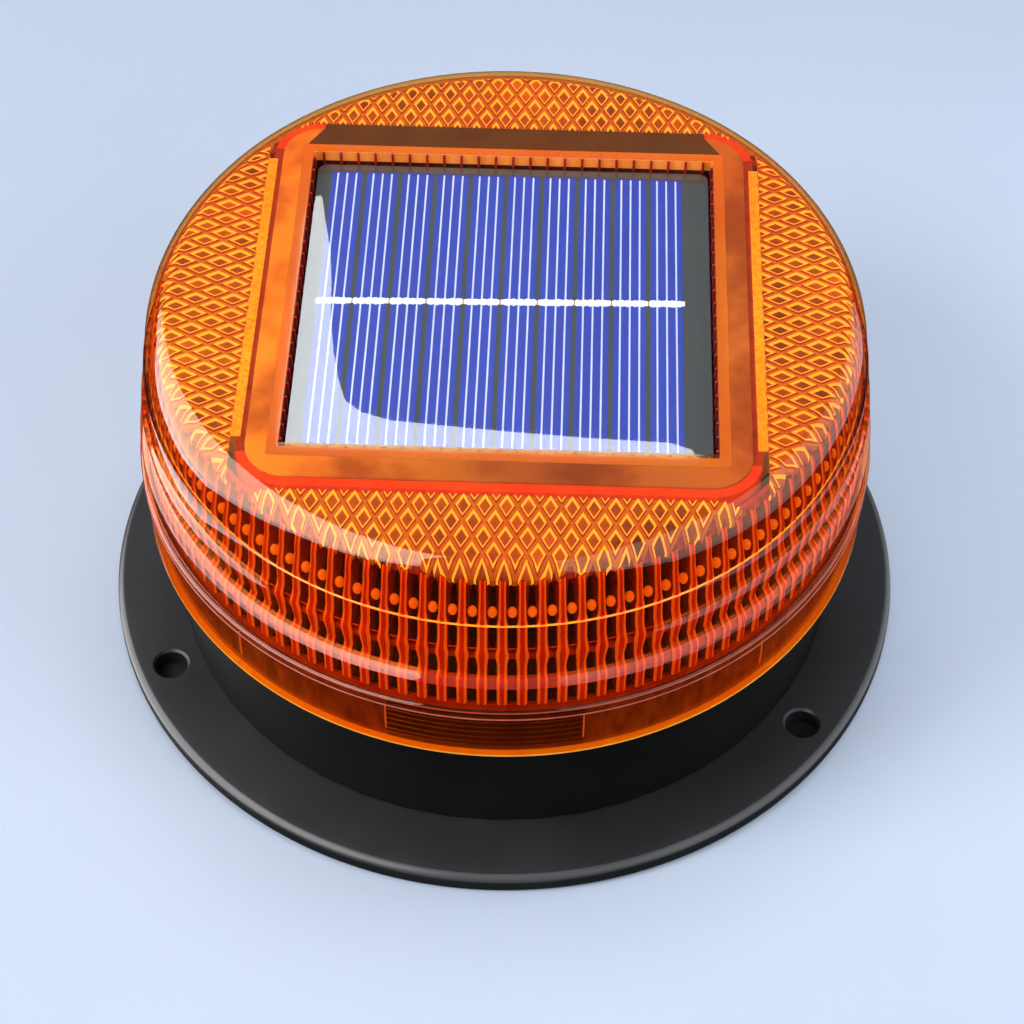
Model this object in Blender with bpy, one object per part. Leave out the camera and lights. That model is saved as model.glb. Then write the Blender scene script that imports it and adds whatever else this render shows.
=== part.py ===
"""Solar barricade warning light: amber lens with a solar panel in its top, on a black screw-down base.

Frame: metres, +Z up, origin at the centre of the flange's underside. The panel's edges run along X and Y,
and -Y is the front. Every piece is its own closed object; pieces that touch keep a small gap.
"""
import math

import bmesh
import bpy
from mathutils import Matrix, Vector
from mathutils.geometry import interpolate_bezier

MM = 0.001
GAP = 0.3 * MM                      # left between pieces that touch

# Lens: widths are radii, heights are above the flange's underside
LENS_TOP = 68.2 * MM
LENS_FLAT_R = 53.5 * MM             # where the flat top starts to round over
LENS_SHOULDER_Z = 60.4 * MM
LENS_SHOULDER_R = 58.2 * MM
LENS_WAIST_Z, LENS_WAIST_R = 57.0 * MM, 59.0 * MM
LENS_CREASE_Z, LENS_CREASE_R = 52.2 * MM, 59.7 * MM
LENS_BELT_Z, LENS_BELT_R = 43.8 * MM, 60.5 * MM
LENS_BEAD_Z, LENS_BEAD_R = 37.0 * MM, 61.2 * MM
LENS_SKIRT_Z, LENS_SKIRT_R = 26.2 * MM, 60.8 * MM
LENS_WALL = 2.4 * MM
LENS_INNER_R = 57.2 * MM            # inside of the fluted wall
PLATE_UNDER = LENS_TOP - LENS_WALL

# Panel and the square tray it is glued into
PANEL_HALF = 32.8 * MM
PANEL_TOP = 65.3 * MM
RESIN_THICK, CELL_THICK, BOARD_THICK = 0.8 * MM, 0.3 * MM, 1.2 * MM
CELL_COUNT, CELL_PITCH, CELL_WIDTH, CELL_LENGTH = 10, 5.95 * MM, 5.15 * MM, 62.0 * MM
CELL_SHIFT = -1.0 * MM              # the row of cells sits a little off centre
TRAY_RECESS_HALF = 33.5 * MM
TRAY_HALF = 35.3 * MM
TRAY_FLOOR_TOP, TRAY_FLOOR_UNDER = 61.5 * MM, 59.7 * MM
ADHESIVE_WIDTH = 5.0 * MM
FRAME_HALF_X, FRAME_HALF_Y, FRAME_CORNER = 40.2 * MM, 41.0 * MM, 8.0 * MM
FRAME_WALL, FRAME_UNDER = 1.6 * MM, 62.0 * MM

# Posts that hold the lens down on the base
POST_X, POST_Y = 35.8 * MM, 22.0 * MM
POST_R, BASE_POST_R, POST_HOLE_R = 3.5 * MM, 4.2 * MM, 1.6 * MM
POST_MEET_Z = 57.8 * MM
POST_POCKET_R, POST_POCKET_Z = 3.2 * MM, 52.5 * MM

# Base cup and flange
CUP_FOOT_Z, CUP_TOP_Z = 3.7 * MM, 35.6 * MM
CUP_R, CUP_TOP_R, CUP_INNER_R = 57.2 * MM, 57.0 * MM, 53.2 * MM
CUP_FOOT_INNER_R = 46.8 * MM
FLOOR_UNDER, FLOOR_TOP = 9.0 * MM, 11.5 * MM
SEAL_Z, SEAL_R, SEAL_SECTION = 30.3 * MM, 56.9 * MM, 1.15 * MM
FLANGE_R, FLANGE_INNER_R, FLANGE_THICK = 68.6 * MM, 46.8 * MM, 3.4 * MM
FLANGE_EDGE = 1.3 * MM
MOUNT_HOLE_R, MOUNT_HOLE_AT = 2.8 * MM, 62.5 * MM
MOUNT_ANGLES = (-154.5, -34.5, 85.5)
WASHER_SEAT_R, WASHER_SEAT_DEPTH = 4.6 * MM, 0.2 * MM
FLANGE_SCREW_AT = 51.0 * MM
FLANGE_SCREW_ANGLES = (-94.5, 25.5, 145.5)

# Inside
DRUM_R, DRUM_WALL, DRUM_TOP, DRUM_LEDGE = 51.6 * MM, 1.8 * MM, 57.0 * MM, 2.0 * MM
LED_BOARD_R, LED_BOARD_Z, PCB = 49.4 * MM, 50.0 * MM, 1.6 * MM
LED_COUNT, LED_AT, LED_SIZE, LED_THICK = 8, 45.5 * MM, 5.0 * MM, 1.6 * MM
BATTERY_R, BATTERY_LENGTH = 9.2 * MM, 65.0 * MM
BATTERY_Y, BATTERY_Z = 4.0 * MM, 24.2 * MM
BUTTON_Y, BUTTON_TIP_Z, BUTTON_R = -22.0 * MM, 4.6 * MM, 4.7 * MM
CONTROL_Z, CONTROL_HALF = 22.4 * MM, (24.0 * MM, 13.5 * MM)
BOARD_SCREW_X = 19.5 * MM

FINE, ROUND, COARSE = 48, 20, 12    # sides of large, small and hidden round pieces


def clear_scene():
    for item in list(bpy.data.objects):
        bpy.data.objects.remove(item, do_unlink=True)


def make_material(name, colour, roughness=0.5, metallic=0.0):
    material = bpy.data.materials.new(name)
    material.use_nodes = True
    shader = material.node_tree.nodes["Principled BSDF"]
    shader.inputs["Base Color"].default_value = (*colour, 1.0)
    shader.inputs["Roughness"].default_value = roughness
    shader.inputs["Metallic"].default_value = metallic
    return material


def add_object(name, bm, material=None):
    """Turn a bmesh into a linked object with outward faces."""
    bmesh.ops.remove_doubles(bm, verts=bm.verts, dist=1e-7)
    bmesh.ops.recalc_face_normals(bm, faces=bm.faces)
    mesh = bpy.data.meshes.new(name)
    bm.to_mesh(mesh)
    bm.free()
    mesh.shade_smooth()
    mesh.set_sharp_from_angle(angle=math.radians(35))
    item = bpy.data.objects.new(name, mesh)
    bpy.context.scene.collection.objects.link(item)
    if material:
        mesh.materials.append(material)
    return item


def turned(name, profile, material=None, sides=ROUND, at=(0, 0, 0)):
    """Turn a closed (radius, height) outline about a vertical axis through `at`."""
    bm = bmesh.new()
    points = [bm.verts.new((r, 0, z)) for r, z in profile]
    edges = [bm.edges.new((a, b)) for a, b in zip(points, points[1:])]
    if profile[0][0] > 0 or profile[-1][0] > 0:
        edges.append(bm.edges.new((points[-1], points[0])))
    bmesh.ops.spin(bm, geom=points + edges, cent=(0, 0, 0), axis=(0, 0, 1),
                   angle=2 * math.pi, steps=sides, use_merge=True)
    bmesh.ops.translate(bm, verts=bm.verts, vec=at)
    return add_object(name, bm, material)


def cylinder(name, radius, low, high, at=(0, 0), material=None, sides=ROUND):
    bm = bmesh.new()
    bmesh.ops.create_cone(bm, cap_ends=True, segments=sides, radius1=radius, radius2=radius,
                          depth=high - low)
    bmesh.ops.translate(bm, verts=bm.verts, vec=(at[0], at[1], (low + high) / 2))
    return add_object(name, bm, material)


def box(name, low, high, material=None, bevel=0.0):
    bm = bmesh.new()
    bmesh.ops.create_cube(bm, size=1.0)
    middle = [(a + b) / 2 for a, b in zip(low, high)]
    size = [b - a for a, b in zip(low, high)]
    bmesh.ops.scale(bm, verts=bm.verts, vec=size)
    bmesh.ops.translate(bm, verts=bm.verts, vec=middle)
    if bevel:
        bmesh.ops.bevel(bm, geom=bm.edges, offset=bevel, segments=1, affect="EDGES")
    return add_object(name, bm, material)


def prism(name, outline, low, high, material=None):
    """Extrude a flat outline of (x, y) points from height low to high."""
    bm = bmesh.new()
    base = bm.faces.new([bm.verts.new((x, y, low)) for x, y in outline])
    top = bmesh.ops.extrude_face_region(bm, geom=[base])["geom"]
    lifted = [v for v in top if isinstance(v, bmesh.types.BMVert)]
    bmesh.ops.translate(bm, verts=lifted, vec=(0, 0, high - low))
    return add_object(name, bm, material)


def rectangle(half_x, half_y, corner=0.0, steps=3):
    """Outline of a rectangle about the origin, its corners rounded with `steps` straight pieces."""
    if not corner:
        return [(-half_x, -half_y), (half_x, -half_y), (half_x, half_y), (-half_x, half_y)]
    points = []
    for turn, (sx, sy) in enumerate(((1, 1), (-1, 1), (-1, -1), (1, -1))):
        for k in range(steps + 1):
            angle = math.radians(90 * turn + 90 * k / steps)
            points.append((sx * (half_x - corner) + corner * math.cos(angle),
                           sy * (half_y - corner) + corner * math.sin(angle)))
    return points


def arc(centre, radius, start, end, steps):
    """Points of a (radius, height) arc, angles in degrees from the outward direction."""
    angles = [math.radians(start + (end - start) * k / steps) for k in range(steps + 1)]
    return [(centre[0] + radius * math.cos(a), centre[1] + radius * math.sin(a)) for a in angles]


def smooth_route(points, per_span=4):
    """A smooth curve through hand-placed points, as a list of points."""
    places = [Vector(p) * MM for p in points]
    tangents = [(places[min(k + 1, len(places) - 1)] - places[max(k - 1, 0)]) / 6
                for k in range(len(places))]
    route = [places[0]]
    for a, b, ta, tb in zip(places, places[1:], tangents, tangents[1:]):
        route += interpolate_bezier(a, a + ta, b - tb, b, per_span + 1)[1:]
    return route


def wire(name, points, radius, material, per_span=4):
    """A solid round wire along a smooth route; its ends are capped."""
    curve = bpy.data.curves.new(name, "CURVE")
    curve.dimensions = "3D"
    curve.bevel_depth = radius
    curve.bevel_resolution = 1
    curve.use_fill_caps = True
    route = smooth_route(points, per_span)
    spline = curve.splines.new("POLY")
    spline.points.add(len(route) - 1)
    for point, place in zip(spline.points, route):
        point.co = (*place, 1.0)
    item = bpy.data.objects.new(name, curve)
    bpy.context.scene.collection.objects.link(item)
    curve.materials.append(material)
    return item


def coil(name, centre, radius, low, high, turns, wire_r, material, axis="Z", per_turn=10, ring=5):
    """A closed round-wire coil spring between two heights along its axis."""
    bm = bmesh.new()
    steps = turns * per_turn
    rings = []
    for k in range(steps + 1):
        angle = 2 * math.pi * k / per_turn
        height = low + (high - low) * k / steps
        out = Vector((math.cos(angle), math.sin(angle), 0))
        spot = out * radius + Vector((0, 0, height))
        loop = []
        for j in range(ring):
            turn = 2 * math.pi * j / ring
            loop.append(bm.verts.new(spot + (out * math.cos(turn) + Vector((0, 0, 1)) * math.sin(turn))
                                     * wire_r))
        rings.append(loop)
    for a, b in zip(rings, rings[1:]):
        for j in range(ring):
            bm.faces.new((a[j], a[(j + 1) % ring], b[(j + 1) % ring], b[j]))
    bm.faces.new(rings[0])
    bm.faces.new(rings[-1])
    if axis == "X":
        bm.transform(Matrix.Rotation(math.pi / 2, 4, "Y"))
    bm.transform(Matrix.Translation(centre))
    return add_object(name, bm, material)


def combine(item, others, operation):
    """Union or cut other solids with one object; the operands become hidden cutters."""
    for other in others:
        other.hide_render = True
        other.display_type = "WIRE"
        other.hide_set(True)
        step = item.modifiers.new(operation.lower(), "BOOLEAN")
        step.operation = operation
        step.solver = "EXACT"
        step.object = other


def polar(radius, degrees):
    return (radius * math.cos(math.radians(degrees)), radius * math.sin(math.radians(degrees)))


def post_places():
    return [(sx * POST_X, sy * POST_Y) for sx in (-1, 1) for sy in (-1, 1)]


def lens_outline():
    """Outside of the lens from the middle of its top down to the skirt's lower edge."""
    shoulder_r = 10.8 * MM
    tight_r = 3.0 * MM
    turn = 38.0
    big = (LENS_SHOULDER_R - shoulder_r, LENS_SHOULDER_Z)
    reach = shoulder_r - tight_r
    tight = (big[0] + reach * math.cos(math.radians(turn)), big[1] + reach * math.sin(math.radians(turn)))
    return ([(0, LENS_TOP)] + arc(tight, tight_r, 90, turn, 3) + arc(big, shoulder_r, turn, 0, 3)[1:]
            + [(LENS_WAIST_R, LENS_WAIST_Z), (LENS_CREASE_R, LENS_CREASE_Z), (LENS_BELT_R, LENS_BELT_Z),
               (LENS_BELT_R, LENS_BEAD_Z + 1 * MM), (LENS_BEAD_R, LENS_BEAD_Z),
               (LENS_SKIRT_R, LENS_BEAD_Z - 1 * MM), (LENS_SKIRT_R, LENS_SKIRT_Z)])


def make_lens(amber):
    skirt_inner = LENS_SKIRT_R - LENS_WALL
    inner = [(skirt_inner, LENS_SKIRT_Z), (skirt_inner, LENS_BEAD_Z - 0.6 * MM),
             (LENS_INNER_R, LENS_BEAD_Z + 0.6 * MM), (LENS_INNER_R - 1.2 * MM, LENS_WAIST_Z),
             (LENS_INNER_R - 2.4 * MM, LENS_SHOULDER_Z + 1.5 * MM), (LENS_FLAT_R - 2.2 * MM, PLATE_UNDER),
             (0, PLATE_UNDER)]
    lens = turned("lens_cover", lens_outline() + inner, amber, FINE)
    lap = 0.5 * MM
    tray = box("tray_block", (-TRAY_HALF, -TRAY_HALF, TRAY_FLOOR_UNDER),
               (TRAY_HALF, TRAY_HALF, PLATE_UNDER + lap))
    frame = prism("frame_block", rectangle(FRAME_HALF_X, FRAME_HALF_Y, FRAME_CORNER),
                  FRAME_UNDER, PLATE_UNDER + lap)
    frame_void = prism("frame_void", rectangle(FRAME_HALF_X - FRAME_WALL, FRAME_HALF_Y - FRAME_WALL,
                                               FRAME_CORNER - FRAME_WALL), FRAME_UNDER - lap, PLATE_UNDER)
    combine(frame, [frame_void], "DIFFERENCE")
    posts = [cylinder("lens_post", POST_R, POST_MEET_Z, PLATE_UNDER + lap, at, sides=COARSE)
             for at in post_places()]
    combine(lens, [frame, tray] + posts, "UNION")
    recess = box("tray_recess", (-TRAY_RECESS_HALF, -TRAY_RECESS_HALF, TRAY_FLOOR_TOP),
                 (TRAY_RECESS_HALF, TRAY_RECESS_HALF, LENS_TOP + lap))
    holes = [cylinder("post_hole", POST_HOLE_R, POST_MEET_Z - lap, PLATE_UNDER - 0.8 * MM, at, sides=COARSE)
             for at in post_places()]
    exits = [cylinder("wire_exit", 2.6 * MM, TRAY_FLOOR_UNDER - lap, TRAY_FLOOR_TOP + lap, at, sides=COARSE)
             for at in (RED_EXIT, BLACK_EXIT)]
    combine(lens, [recess] + holes + exits, "DIFFERENCE")


def make_panel(board_green, silicon, resin, glue):
    board_top = PANEL_TOP - RESIN_THICK - CELL_THICK - 2 * GAP
    board_under = board_top - BOARD_THICK
    outline = rectangle(PANEL_HALF, PANEL_HALF, 1.6 * MM)
    prism("panel_board", outline, board_under, board_top, board_green)
    prism("panel_resin", outline, PANEL_TOP - RESIN_THICK, PANEL_TOP, resin)
    cell_low = board_top + GAP
    for k in range(CELL_COUNT):
        middle = CELL_SHIFT + (k - (CELL_COUNT - 1) / 2) * CELL_PITCH
        box(f"solar_cell_{k + 1:02d}", (middle - CELL_WIDTH / 2, -CELL_LENGTH / 2, cell_low),
            (middle + CELL_WIDTH / 2, CELL_LENGTH / 2, cell_low + CELL_THICK), silicon)
    bond = prism("panel_adhesive", rectangle(PANEL_HALF - GAP, PANEL_HALF - GAP, 1.6 * MM),
                 TRAY_FLOOR_TOP + GAP / 2, board_under - GAP / 2, glue)
    inside = PANEL_HALF - ADHESIVE_WIDTH
    window = prism("adhesive_window", rectangle(inside, inside, 1.6 * MM),
                   TRAY_FLOOR_TOP, board_under + GAP)
    combine(bond, [window], "DIFFERENCE")


def make_base(black, rubber):
    groove_half = SEAL_SECTION + 0.2 * MM
    groove_r = SEAL_R - SEAL_SECTION - GAP
    cup = turned("base_cup", [
        (CUP_INNER_R, CUP_TOP_Z), (CUP_TOP_R, CUP_TOP_Z), (CUP_TOP_R, SEAL_Z + groove_half),
        (groove_r, SEAL_Z + groove_half), (groove_r, SEAL_Z - groove_half),
        (CUP_TOP_R, SEAL_Z - groove_half), (CUP_R, CUP_FOOT_Z), (CUP_FOOT_INNER_R, CUP_FOOT_Z),
        (CUP_FOOT_INNER_R, FLOOR_UNDER), (0, FLOOR_UNDER), (0, FLOOR_TOP), (CUP_INNER_R, FLOOR_TOP)],
        black, FINE)
    lap = 0.5 * MM
    posts = [cylinder("base_post", BASE_POST_R, FLOOR_TOP - lap, POST_MEET_Z - GAP, at, sides=COARSE)
             for at in post_places()]
    standoffs = [cylinder("standoff", 3.2 * MM, FLOOR_TOP - lap, CONTROL_Z - GAP, (x, BUTTON_Y), sides=COARSE)
                 for x in (-BOARD_SCREW_X, BOARD_SCREW_X)]
    combine(cup, posts + standoffs, "UNION")
    cuts = []
    for at in post_places():
        cuts.append(cylinder("screw_pocket", POST_POCKET_R, FLOOR_UNDER - lap, POST_POCKET_Z, at, sides=COARSE))
        cuts.append(cylinder("screw_way", POST_HOLE_R, POST_POCKET_Z - lap, POST_MEET_Z + lap, at,
                             sides=COARSE))
    for x in (-BOARD_SCREW_X, BOARD_SCREW_X):
        cuts.append(cylinder("board_pilot", 1.5 * MM, FLOOR_TOP + 2 * MM, CONTROL_Z + lap, (x, BUTTON_Y),
                             sides=COARSE))
    for degrees in FLANGE_SCREW_ANGLES:
        cuts.append(cylinder("foot_pilot", POST_HOLE_R, CUP_FOOT_Z - lap, CUP_FOOT_Z + 5.5 * MM,
                             polar(FLANGE_SCREW_AT, degrees), sides=COARSE))
    cuts.append(cylinder("button_way", BUTTON_R + GAP, FLOOR_UNDER - lap, FLOOR_TOP + lap, (0, BUTTON_Y)))
    cuts.append(cylinder("seal_seat", 7.0 * MM, FLOOR_UNDER - lap, FLOOR_UNDER + 1.3 * MM, (0, BUTTON_Y)))
    combine(cup, cuts, "DIFFERENCE")
    turned("lens_seal", arc((SEAL_R, SEAL_Z), SEAL_SECTION, 0, -360, 8)[:-1], rubber, FINE)
    turned("button_seal", [(6.7 * MM, 10 * MM), (6.7 * MM, FLOOR_UNDER), (BUTTON_R + GAP, FLOOR_UNDER),
                           (BUTTON_R + GAP, 10 * MM)], rubber, ROUND, (0, BUTTON_Y, 0))


def make_flange(black):
    edge = arc((FLANGE_R - FLANGE_EDGE, FLANGE_THICK - FLANGE_EDGE), FLANGE_EDGE, 90, 0, 3)
    flange = turned("mounting_flange", [(FLANGE_INNER_R, FLANGE_THICK)] + edge
                    + [(FLANGE_R, 0.5 * MM), (FLANGE_R - 0.5 * MM, 0), (FLANGE_INNER_R, 0)], black, FINE)
    lap = 1 * MM
    cuts = []
    for degrees in MOUNT_ANGLES:
        at = polar(MOUNT_HOLE_AT, degrees)
        cuts.append(cylinder("mount_hole", MOUNT_HOLE_R, -lap, FLANGE_THICK + lap, at))
        cuts.append(cylinder("washer_seat", WASHER_SEAT_R, FLANGE_THICK - WASHER_SEAT_DEPTH,
                             FLANGE_THICK + lap, at))
    for degrees in FLANGE_SCREW_ANGLES:
        at = polar(FLANGE_SCREW_AT, degrees)
        cuts.append(cylinder("screw_hole", POST_HOLE_R, -lap, FLANGE_THICK + lap, at, sides=COARSE))
        cuts.append(cylinder("screw_seat", 3.2 * MM, -lap, 1.7 * MM, at, sides=COARSE))
    combine(flange, cuts, "DIFFERENCE")


def make_screw(name, at, head_low, head_high, tip, head_r, shank_r, steel):
    """A pan-head screw driven upwards, with a square drive recess in its head."""
    under = 0.7 * (head_high - head_low)
    drive_r = 0.36 * head_r
    turned(name, [(0, tip), (0.4 * shank_r, tip), (shank_r, tip - 0.8 * MM), (shank_r, head_high),
                  (head_r, head_high), (head_r, head_high - under), (0.8 * head_r, head_low),
                  (drive_r, head_low), (drive_r, head_low + 0.5 * (head_high - head_low)),
                  (0, head_low + 0.5 * (head_high - head_low))], steel, 12, (at[0], at[1], 0))


def make_screws(steel):
    for k, at in enumerate(post_places()):
        high = POST_POCKET_Z - GAP
        make_screw(f"lens_screw_{k + 1}", at, high - 2.2 * MM, high, PLATE_UNDER - 1.4 * MM,
                   2.8 * MM, 1.25 * MM, steel)
    for k, degrees in enumerate(FLANGE_SCREW_ANGLES):
        make_screw(f"flange_screw_{k + 1}", polar(FLANGE_SCREW_AT, degrees), 0.2 * MM, 1.4 * MM,
                   CUP_FOOT_Z + 5 * MM, 2.8 * MM, 1.25 * MM, steel)
    for k, x in enumerate((-BOARD_SCREW_X, BOARD_SCREW_X)):
        top = CONTROL_Z + PCB + GAP
        turned(f"board_screw_{k + 1}", [
            (0, top + 1.5 * MM), (2.0 * MM, top + 1.3 * MM), (2.4 * MM, top), (1.15 * MM, top),
            (1.15 * MM, CONTROL_Z - 5 * MM), (0, CONTROL_Z - 6 * MM)], steel, 12, (x, BUTTON_Y, 0))


def make_drum_and_led_board(black, white, led_yellow, chip_black):
    inside = DRUM_R - DRUM_WALL
    ledge = LED_BOARD_Z - GAP
    turned("inner_drum", [(DRUM_R, DRUM_TOP), (DRUM_R, FLOOR_TOP + GAP), (inside, FLOOR_TOP + GAP),
                          (inside, ledge - DRUM_LEDGE), (inside - DRUM_LEDGE, ledge - 1 * MM),
                          (inside - DRUM_LEDGE, ledge), (inside, ledge), (inside, DRUM_TOP)], black, FINE)
    board = cylinder("led_board", LED_BOARD_R, LED_BOARD_Z, LED_BOARD_Z + PCB, material=white, sides=FINE)
    low, high = LED_BOARD_Z - GAP, LED_BOARD_Z + PCB + GAP
    cuts = [cylinder("post_clear", BASE_POST_R + 0.4 * MM, low, high, at, sides=COARSE)
            for at in post_places()]
    cuts += [cylinder("wire_pass", 2.0 * MM, low, high, at, sides=COARSE) for at in WIRE_PASSES]
    combine(board, cuts, "DIFFERENCE")
    top = LED_BOARD_Z + PCB + GAP
    for k in range(LED_COUNT):
        degrees = 360 / LED_COUNT * k
        half = LED_SIZE / 2
        led = box(f"led_{k + 1}", (-half, -half, 0), (half, half, LED_THICK), led_yellow, 0.3 * MM)
        led.location = (*polar(LED_AT, degrees), top)
        led.rotation_euler.z = math.radians(degrees)
    cylinder("light_sensor", 2.5 * MM, top, top + 3.2 * MM, (-17 * MM, -42 * MM), chip_black, COARSE)
    box("wire_connector", (-18 * MM, 20 * MM, top), (-8 * MM, 26 * MM, top + 4.5 * MM), white, 0.4 * MM)


def make_control_board(green, chip_black, copper, tin):
    half_x, half_y = CONTROL_HALF
    board = box("control_board", (-half_x, BUTTON_Y - half_y, CONTROL_Z),
                (half_x, BUTTON_Y + half_y, CONTROL_Z + PCB), green)
    combine(board, [cylinder("screw_clear", 1.6 * MM, CONTROL_Z - GAP, CONTROL_Z + PCB + GAP, (x, BUTTON_Y),
                             sides=COARSE) for x in (-BOARD_SCREW_X, BOARD_SCREW_X)], "DIFFERENCE")
    top = CONTROL_Z + PCB + GAP
    box("control_chip", (-4 * MM, -18 * MM, top), (4 * MM, -13 * MM, top + 1.6 * MM), chip_black, 0.2 * MM)
    box("charge_diode", (7 * MM, -29 * MM, top), (11.5 * MM, -26 * MM, top + 2.2 * MM), chip_black, 0.2 * MM)
    turned("boost_inductor", [(1.5 * MM, top + 5 * MM), (4 * MM, top + 5 * MM), (4 * MM, top + 4 * MM),
                              (3 * MM, top + 3.4 * MM), (3 * MM, top + 1.6 * MM), (4 * MM, top + 1 * MM),
                              (4 * MM, top), (1.5 * MM, top)], copper, ROUND, (-9 * MM, -27 * MM, 0))
    turned("filter_capacitor", [(0, top + 11 * MM), (2.6 * MM, top + 11 * MM), (3 * MM, top + 10.6 * MM),
                                (3 * MM, top + 1.8 * MM), (2.6 * MM, top + 1.4 * MM), (3 * MM, top + 1 * MM),
                                (3 * MM, top), (0, top)], tin, ROUND, (10 * MM, -14 * MM, 0))


def make_battery(cell_wrap, black, tin):
    turned_cell = turned("battery_cell", [
        (0, BATTERY_LENGTH / 2 + 1.2 * MM), (2.7 * MM, BATTERY_LENGTH / 2 + 1.2 * MM),
        (2.7 * MM, BATTERY_LENGTH / 2), (BATTERY_R, BATTERY_LENGTH / 2), (BATTERY_R, -BATTERY_LENGTH / 2),
        (0, -BATTERY_LENGTH / 2)], cell_wrap, ROUND)
    turned_cell.rotation_euler.y = math.pi / 2
    turned_cell.location = (0, BATTERY_Y, BATTERY_Z)
    reach = BATTERY_LENGTH / 2 + 7.5 * MM
    low, high = FLOOR_TOP + GAP, BATTERY_Z + 2.5 * MM
    side = BATTERY_R + 2.0 * MM
    holder = box("battery_holder", (-reach, BATTERY_Y - side, low), (reach, BATTERY_Y + side, high), black)
    wall = 1.5 * MM
    hollow = box("holder_hollow", (-reach + wall, BATTERY_Y - side + wall, low + 1.8 * MM),
                 (reach - wall, BATTERY_Y + side - wall, high + 1 * MM))
    combine(holder, [hollow], "DIFFERENCE")
    inside = reach - wall - GAP
    box("battery_plate", (inside - 0.6 * MM, BATTERY_Y - 6 * MM, low + 3 * MM),
        (inside, BATTERY_Y + 6 * MM, high - 0.5 * MM), tin)
    coil("battery_spring", (0, BATTERY_Y, BATTERY_Z), 3.4 * MM, -inside + 0.5 * MM,
         -BATTERY_LENGTH / 2 - 0.7 * MM, 4, 0.35 * MM, tin, axis="X")


def make_switch(black, chip_black, button_red, tin):
    """Push switch under the control board, worked by a sprung button that comes through the floor."""
    box("switch_body", (-6 * MM, BUTTON_Y - 6 * MM, CONTROL_Z - GAP - 4.2 * MM),
        (6 * MM, BUTTON_Y + 6 * MM, CONTROL_Z - GAP), chip_black, 0.3 * MM)
    head = 1.5 * MM
    low = FLOOR_TOP + GAP
    button = turned("power_button", [
        (0, low + 4.4 * MM), (1.5 * MM, low + 4.4 * MM), (1.5 * MM, low + head), (6.5 * MM, low + head),
        (6.5 * MM, low), (BUTTON_R, low), (BUTTON_R, BUTTON_TIP_Z + 0.8 * MM),
        (BUTTON_R - 0.8 * MM, BUTTON_TIP_Z), (0, BUTTON_TIP_Z)], button_red, ROUND)
    button.location.y = BUTTON_Y
    coil("button_spring", (0, BUTTON_Y, 0), 3.6 * MM, low + head + 0.6 * MM,
         CONTROL_Z - GAP - 4.2 * MM - 0.6 * MM, 3, 0.3 * MM, tin)


RED_EXIT, BLACK_EXIT = (-18 * MM, 12 * MM), (18 * MM, 2 * MM)
WIRE_PASSES = ((26 * MM, -11 * MM), (27.5 * MM, -17 * MM))

# Routes of the wires, in millimetres
PANEL_RED = ((-18, 12, 62.2), (-18, 12, 59.5), (-20.5, 12, 57.6), (-28, 11.5, 57.2), (-35, 12.4, 57.6),
             (-40, 16, 58.8), (-41.4, 22.5, 59.8), (-40.6, 30, 60.3), (-38, 36.2, 60.4), (-33, 41, 60.4),
             (-26, 43.2, 60.4), (-19.6, 42, 60.0), (-16.6, 38.4, 58.2), (-14.5, 33.5, 56.4),
             (-13, 28.5, 54.8), (-13, 26.5, 54.4))
PANEL_BLACK = ((18, 2, 62.2), (18, 2, 59.5), (20.5, 2.4, 57.8), (27, 4, 57.6), (33, 3.4, 58.0),
               (36.5, 1.4, 58.0), (38.2, -2.5, 57.8), (38, -8, 57.4), (34.5, -13.5, 57.0), (27, -16, 56.6),
               (14, -13, 56.0), (-2, -2, 55.4), (-7.5, 12, 55.0), (-9.5, 19.6, 54.4))
LED_RED = ((13, -10, 52.9), (19, -8.5, 54.0), (28, -7, 55.2), (33, -6.8, 55.2), (34.5, -9.2, 54.8),
           (32.5, -12, 54.2), (28.5, -12.5, 53.6), (26, -11, 52.0), (26, -11, 48), (25, -15, 40),
           (22, -21, 32), (18.5, -26, 27.5), (18, -27, 24.6))
LED_BLACK = ((13, -5.5, 52.9), (19, -4, 54.0), (28, -0.5, 55.6), (33, -0.4, 55.8), (35.6, -2, 55.6),
             (36.8, -6, 55.0), (36, -11.5, 54.2), (33, -15.3, 53.8), (29.5, -17.6, 53.2), (27.5, -17, 51.4),
             (27.5, -17, 47), (26, -23, 40), (20, -30, 32), (14.5, -30.5, 27.5), (14, -30, 24.6))
BATTERY_RED = ((41.3, 4, 24), (43.8, 0, 25), (42.8, -8, 26.5), (36, -13, 27.5), (28, -13.5, 27.2),
               (22, -13, 26), (20.4, -12.4, 24.8))
BATTERY_BLACK = ((-41.3, 4, 24), (-43.8, 0, 25), (-42.8, -8, 26.5), (-36, -13, 27.5), (-28, -13.5, 27.2),
                 (-22, -13, 26), (-20.4, -12.4, 24.8))


def make_wires(red, black):
    wire("panel_wire_red", PANEL_RED, 1.1 * MM, red)
    wire("panel_wire_black", PANEL_BLACK, 1.1 * MM, black)
    wire("led_wire_red", LED_RED, 0.7 * MM, red, 3)
    wire("led_wire_black", LED_BLACK, 0.7 * MM, black, 3)
    wire("battery_wire_red", BATTERY_RED, 0.8 * MM, red, 3)
    wire("battery_wire_black", BATTERY_BLACK, 0.8 * MM, black, 3)


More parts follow.
